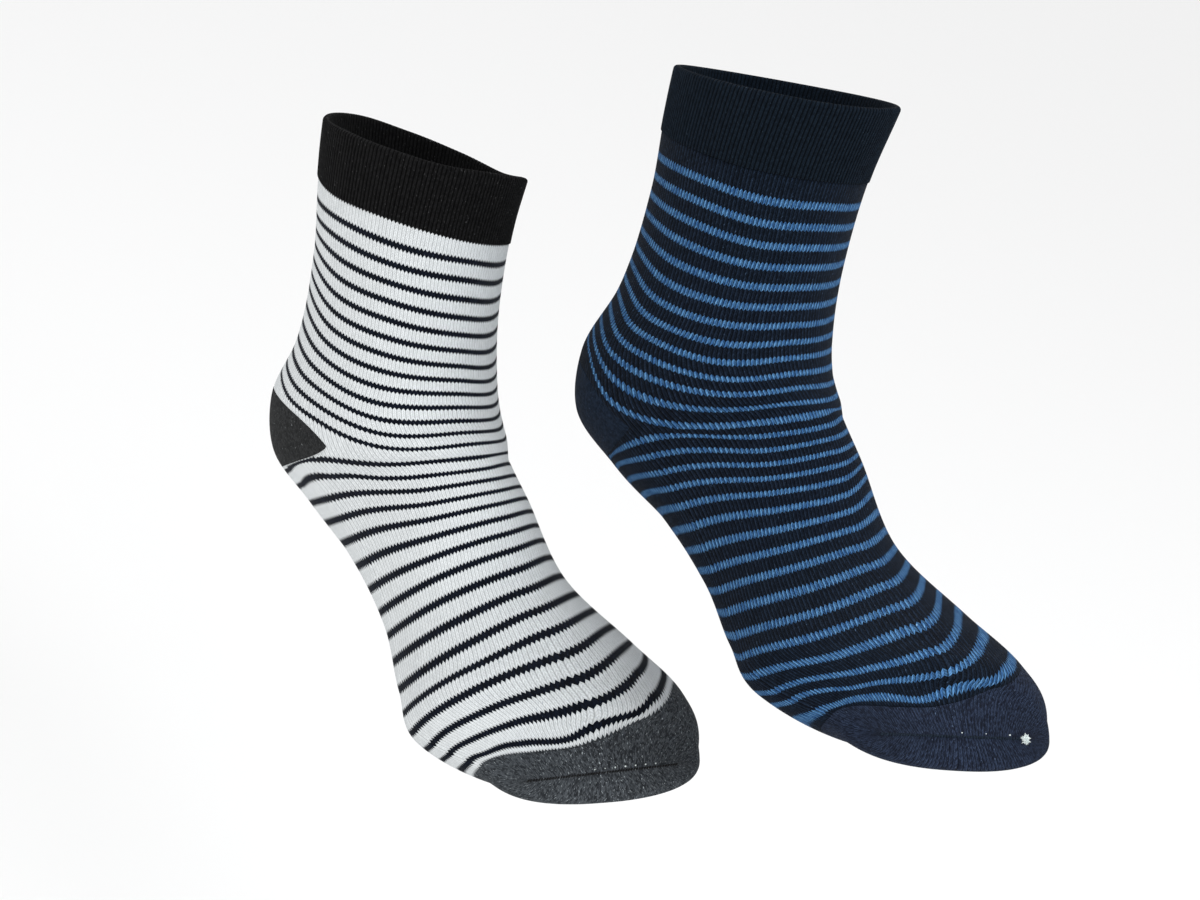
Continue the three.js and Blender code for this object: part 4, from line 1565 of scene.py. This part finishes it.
@dataclass
class ToeSeam:
    """Linked toe seam: a row of slanted stitches, pale loops beside it, and a loose tuft.

    Attributes:
        steps: Points of a path along the seam.
        pitch: Distance from one stitch to the next.
        stitch: Length, width and height of a stitch.
        slant: Angle between a stitch and the seam, in radians.
        loop: Length, width and height of the largest loop.
        loop_slant: Angle between a loop and the seam.
        loop_lift: How far the loops lie above the seam.
        tuft_threads: Thread ends in the tuft.
        tuft_thread: Length, width and height of a thread end.
        tuft_run: Shares of the seam between which the tuft is sewn on.
        tuft_drop: How far below the seam its middle lies.
        tuft_rise: How far the middles of its threads stand off the toe.
        tuft_radius: Radius of the spiral on which its threads lie.
        tuft_turns: Turns of that spiral.
        tuft_steps: Points of that spiral.
    """

    steps: int = 25
    pitch: float = 1.15 * MM
    stitch: tuple[float, float, float] = (2.1 * MM, 0.85 * MM, 0.75 * MM)
    slant: float = 0.75
    loop: tuple[float, float, float] = (0.75 * MM * 1.3, 0.75 * MM, 0.75 * MM)
    loop_slant: float = 0.6
    loop_lift: float = 1.5 * MM
    tuft_threads: int = 70
    tuft_thread: tuple[float, float, float] = (3.2 * MM, 0.5 * MM, 0.5 * MM)
    tuft_run: tuple[float, float] = (0.97, 0.985)
    tuft_drop: float = 0.2 * MM
    tuft_rise: float = 0.6 * MM
    tuft_radius: float = 1.1 * MM
    tuft_turns: float = 3.5
    tuft_steps: int = 60

    def path(self, form: SockForm, run: tuple[float, float], lift: float = 0.0) -> np.ndarray:
        """Points along the seam, in the frame of the whole part.

        Args:
            form: The sock.
            run: Shares of the seam at which the path starts and ends, from the outer end.
            lift: How far back up the instep side of the toe it lies.

        Returns:
            The points.
        """
        side = 2 * np.linspace(*run, self.steps) - 1
        power = OUTER.rows[-1, SECTION_COLUMNS.index("front_power")] / 2
        angles = math.pi - np.sign(side) * np.arcsin(np.abs(side) ** power)
        lines = WaleLines(angles)
        length = lines.length(np.full(len(angles), OUTER.end)) - lift
        points = OUTER.points(lines.station(length)[0], angles)
        return np.array([form.place @ Vector(point) for point in points])

    @staticmethod
    def _values(count: int, size: tuple[float, ...], slant: float, spread: float, least: float, seed: int) -> dict:
        """Inputs of a row of stitches, but for its material."""
        labels = ("Count", "Length", "Width", "Height", "Slant", "Turn spread", "Least size", "Seed")
        return dict(zip(labels, (count, *size, slant, spread, least, seed)))

    def stitches(self, form: SockForm, row: StitchRow, material: bpy.types.Material) -> bpy.types.Object:
        """The row of slanted stitches along the seam.

        Args:
            form: The sock.
            row: Sets the stitches.
            material: Their material.

        Returns:
            The piece.
        """
        path = self.path(form, (0.0, 1.0))
        run = float(np.linalg.norm(np.diff(path, axis=0), axis=1).sum())
        values = self._values(round(run / self.pitch), self.stitch, self.slant, 0.12, 0.8, 3)
        return row.build(f"{form.cut.name}_toe_seam", path, {**values, "Material": material})

    def loops(self, form: SockForm, row: StitchRow, material: bpy.types.Material) -> bpy.types.Object:
        """The pale loops beside the seam.

        Args:
            form: The sock.
            row: Sets the loops.
            material: Their material.

        Returns:
            The piece.
        """
        cut = form.cut
        path = self.path(form, cut.loop_run, self.loop_lift)
        values = self._values(cut.loop_count, self.loop, self.loop_slant, 0.5, 0.2, 11)
        return row.build(f"{cut.name}_seam_loops", path, {**values, "Material": material})

    def tuft(self, form: SockForm, row: StitchRow, material: bpy.types.Material) -> bpy.types.Object:
        """The tuft of thread ends at the inner end of the seam.

        Args:
            form: The sock.
            row: Sets the threads.
            material: Their material.

        Returns:
            The piece.
        """
        spot = self.path(form, self.tuft_run, -self.tuft_drop)[0]
        turns = np.linspace(0, self.tuft_turns * 2 * math.pi, self.tuft_steps)
        reach = self.tuft_radius * np.sqrt(np.linspace(0.05, 1, self.tuft_steps))
        up, across = (np.array(form.place.to_3x3() @ Vector(way)) for way in ((0.0, -0.85, 0.5), (1.0, 0.0, 0.0)))
        third = np.cross(up, across)
        round_spot = np.outer(reach * np.cos(turns), across) + np.outer(reach * np.sin(turns), third)
        values = self._values(self.tuft_threads, self.tuft_thread, 0.0, 1.6, 0.5, 5)
        path = spot + up * self.tuft_rise + round_spot
        return row.build(f"{form.cut.name}_thread_tuft", path, {**values, "Material": material})


@dataclass
class Sock:
    """Attributes:
        cut: What the sock is like.
        knit: Makes its knitted materials.
        thread: Makes its sewing threads.
        row: Sets stitches along a path.
    """

    cut: SockCut
    knit: KnitMaterial
    thread: ThreadMaterial
    row: StitchRow

    def build(self) -> list[bpy.types.Object]:
        """Builds the whole sock.

        Returns:
            Its pieces.
        """
        form = SockForm(self.cut)
        sewn = self._sewing(form)
        makers = {"cuff": RibbedCuff(), "body": StripedTube(), "heel": HeelPatch(), "toe": ToeCap()}
        pieces = []
        for part, maker in makers.items():
            piece = maker.build(form)
            finish = self.cut.finishes[part]
            piece.data.materials.append(self.knit.build(finish))
            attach(piece, BODY)
            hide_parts(f"{self.cut.name}_{part}")
            width, length, area = self.cut.flats[part]
            surface = sum(polygon.area for polygon in piece.data.polygons)
            LOG.info("%s: %d faces, %.5f m2 of cloth", piece.name, len(piece.data.polygons), surface / 2)
            pieces.append(piece)
        return pieces + sewn

    def _sewing(self, form: SockForm) -> list[bpy.types.Object]:
        """Sews the seam, its loops and its tuft.

        Args:
            form: The sock.

        Returns:
            The sewn pieces, riding on the sock.
        """
        seam, finishes, title = ToeSeam(), self.cut.finishes, self.cut.name.title()
        dark = self.thread.build(ThreadFinish(f"{title} toe seam", finishes["cuff"].ground))
        pale = self.thread.build(ThreadFinish(f"{title} loose thread", THREAD_YARN))
        sewn = [seam.stitches(form, self.row, dark), seam.loops(form, self.row, pale)]
        if self.cut.has_tuft:
            sewn.append(seam.tuft(form, self.row, pale))
        for piece in sewn:
            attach(piece, BODY)
            LOG.info("%s: %d faces", piece.name, len(piece.data.polygons))
        return sewn


@dataclass(frozen=True)
class Lamp:
    """A soft square light that faces the socks.

    Attributes:
        name: Its name.
        place: Its place.
        size: Length of its side.
        power: Its power in watts.
        colour: Its colour.
    """

    name: str
    place: tuple[float, float, float]
    size: float
    power: float
    colour: tuple[float, float, float]


@dataclass
class Studio:
    """Camera, lights and floor.

    Attributes:
        room: Strength of the room's even light.
        floor_shade: Share of the light that the floor gives back.
        floor_roughness: Roughness of the floor.
        lit: Place that the lamps face.
        lamps: The lamp in front and the one at the outer side.
    """

    room: float = 0.93
    floor_shade: float = 0.92
    floor_roughness: float = 0.9
    lit: tuple[float, float, float] = (0.0, -0.05, -0.1)
    lamps: tuple[Lamp, ...] = (
        Lamp("key", (0.25, -1.15, 0.95), 0.9, 11.0, (0.95, 0.98, 1.0)),
        Lamp("fill", (-1.35, -0.45, 0.35), 1.2, 5.0, (1.0, 0.99, 0.96)),
    )

    def camera(self) -> bpy.types.Object:
        """Puts the camera at the photograph's view.

        Returns:
            The camera.
        """
        aim = Vector(CAMERA_AIM).normalized()
        up = Vector(CAMERA_UP)
        up = (up - aim * up.dot(aim)).normalized()
        data = bpy.data.cameras.new("view")
        data.lens = CAMERA_LENS_MM
        data.sensor_width = SENSOR_MM
        data.sensor_fit = "HORIZONTAL"
        camera = put("view", data)
        turn = Matrix((aim.cross(up), up, -aim)).transposed().to_4x4()
        camera.matrix_world = Matrix.Translation(Vector(CAMERA_AT)) @ turn
        bpy.context.scene.camera = camera
        return camera

    def floor(self) -> bpy.types.Object:
        """Makes the pale floor.

        Returns:
            The floor, which isn't part of the socks.
        """
        mesh = bpy.data.meshes.new("floor")
        corners = [(x * FLOOR_HALF, y * FLOOR_HALF, FLOOR_Z) for x, y in ((-1, -1), (1, -1), (1, 1), (-1, 1))]
        mesh.from_pydata(corners, [], [(0, 1, 2, 3)])
        material = bpy.data.materials.new("Pale floor")
        material.use_nodes = True
        shader = material.node_tree.nodes["Principled BSDF"]
        shader.inputs["Base Color"].default_value = (*[self.floor_shade] * 3, 1)
        shader.inputs["Roughness"].default_value = self.floor_roughness
        mesh.materials.append(material)
        floor = put("floor", mesh)
        return floor

    def light(self, lamp: Lamp) -> bpy.types.Object:
        """Puts a lamp in its place.

        Args:
            lamp: What the lamp is like.

        Returns:
            The lamp.
        """
        data = bpy.data.lights.new(lamp.name, "AREA")
        data.shape = "SQUARE"
        data.size, data.energy, data.color = lamp.size, lamp.power, lamp.colour
        made = put(lamp.name, data)
        turn = (Vector(self.lit) - Vector(lamp.place)).to_track_quat("-Z", "Y").to_matrix().to_4x4()
        made.matrix_world = Matrix.Translation(Vector(lamp.place)) @ turn
        return made

    def world(self) -> bpy.types.World:
        """Makes the even light of a pale room.

        Returns:
            The world.
        """
        world = bpy.data.worlds.new("room")
        world.use_nodes = True
        background = world.node_tree.nodes["Background"]
        background.inputs["Color"].default_value = (1.0, 1.0, 1.0, 1)
        background.inputs["Strength"].default_value = self.room
        bpy.context.scene.world = world
        return world

    def build(self) -> list[bpy.types.Object]:
        """Makes all of it.

        Returns:
            The camera, the floor and the lamps.
        """
        bpy.context.scene.view_settings.view_transform = VIEW_TRANSFORM
        made = [self.camera(), self.floor()]
        self.world()
        return made + [self.light(lamp) for lamp in self.lamps]


def write_sizes() -> None:
    """Brings the view layer up to date."""
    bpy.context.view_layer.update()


def main() -> list[bpy.types.Object]:
    """Builds the studio and both socks.

    Returns:
        The socks' pieces.
    """
    logging.basicConfig(level=logging.INFO, format="%(name)s: %(message)s")
    Studio().build()
    knit, thread, row = KnitMaterial(KnitGroups()), ThreadMaterial(), StitchRow()
    pieces = [piece for cut in (WHITE_SOCK, NAVY_SOCK) for piece in Sock(cut, knit, thread, row).build()]
    LOG.info("made %s", ", ".join(piece.name for piece in pieces))
    write_sizes()
    return pieces


if __name__ == "__main__":
    main()
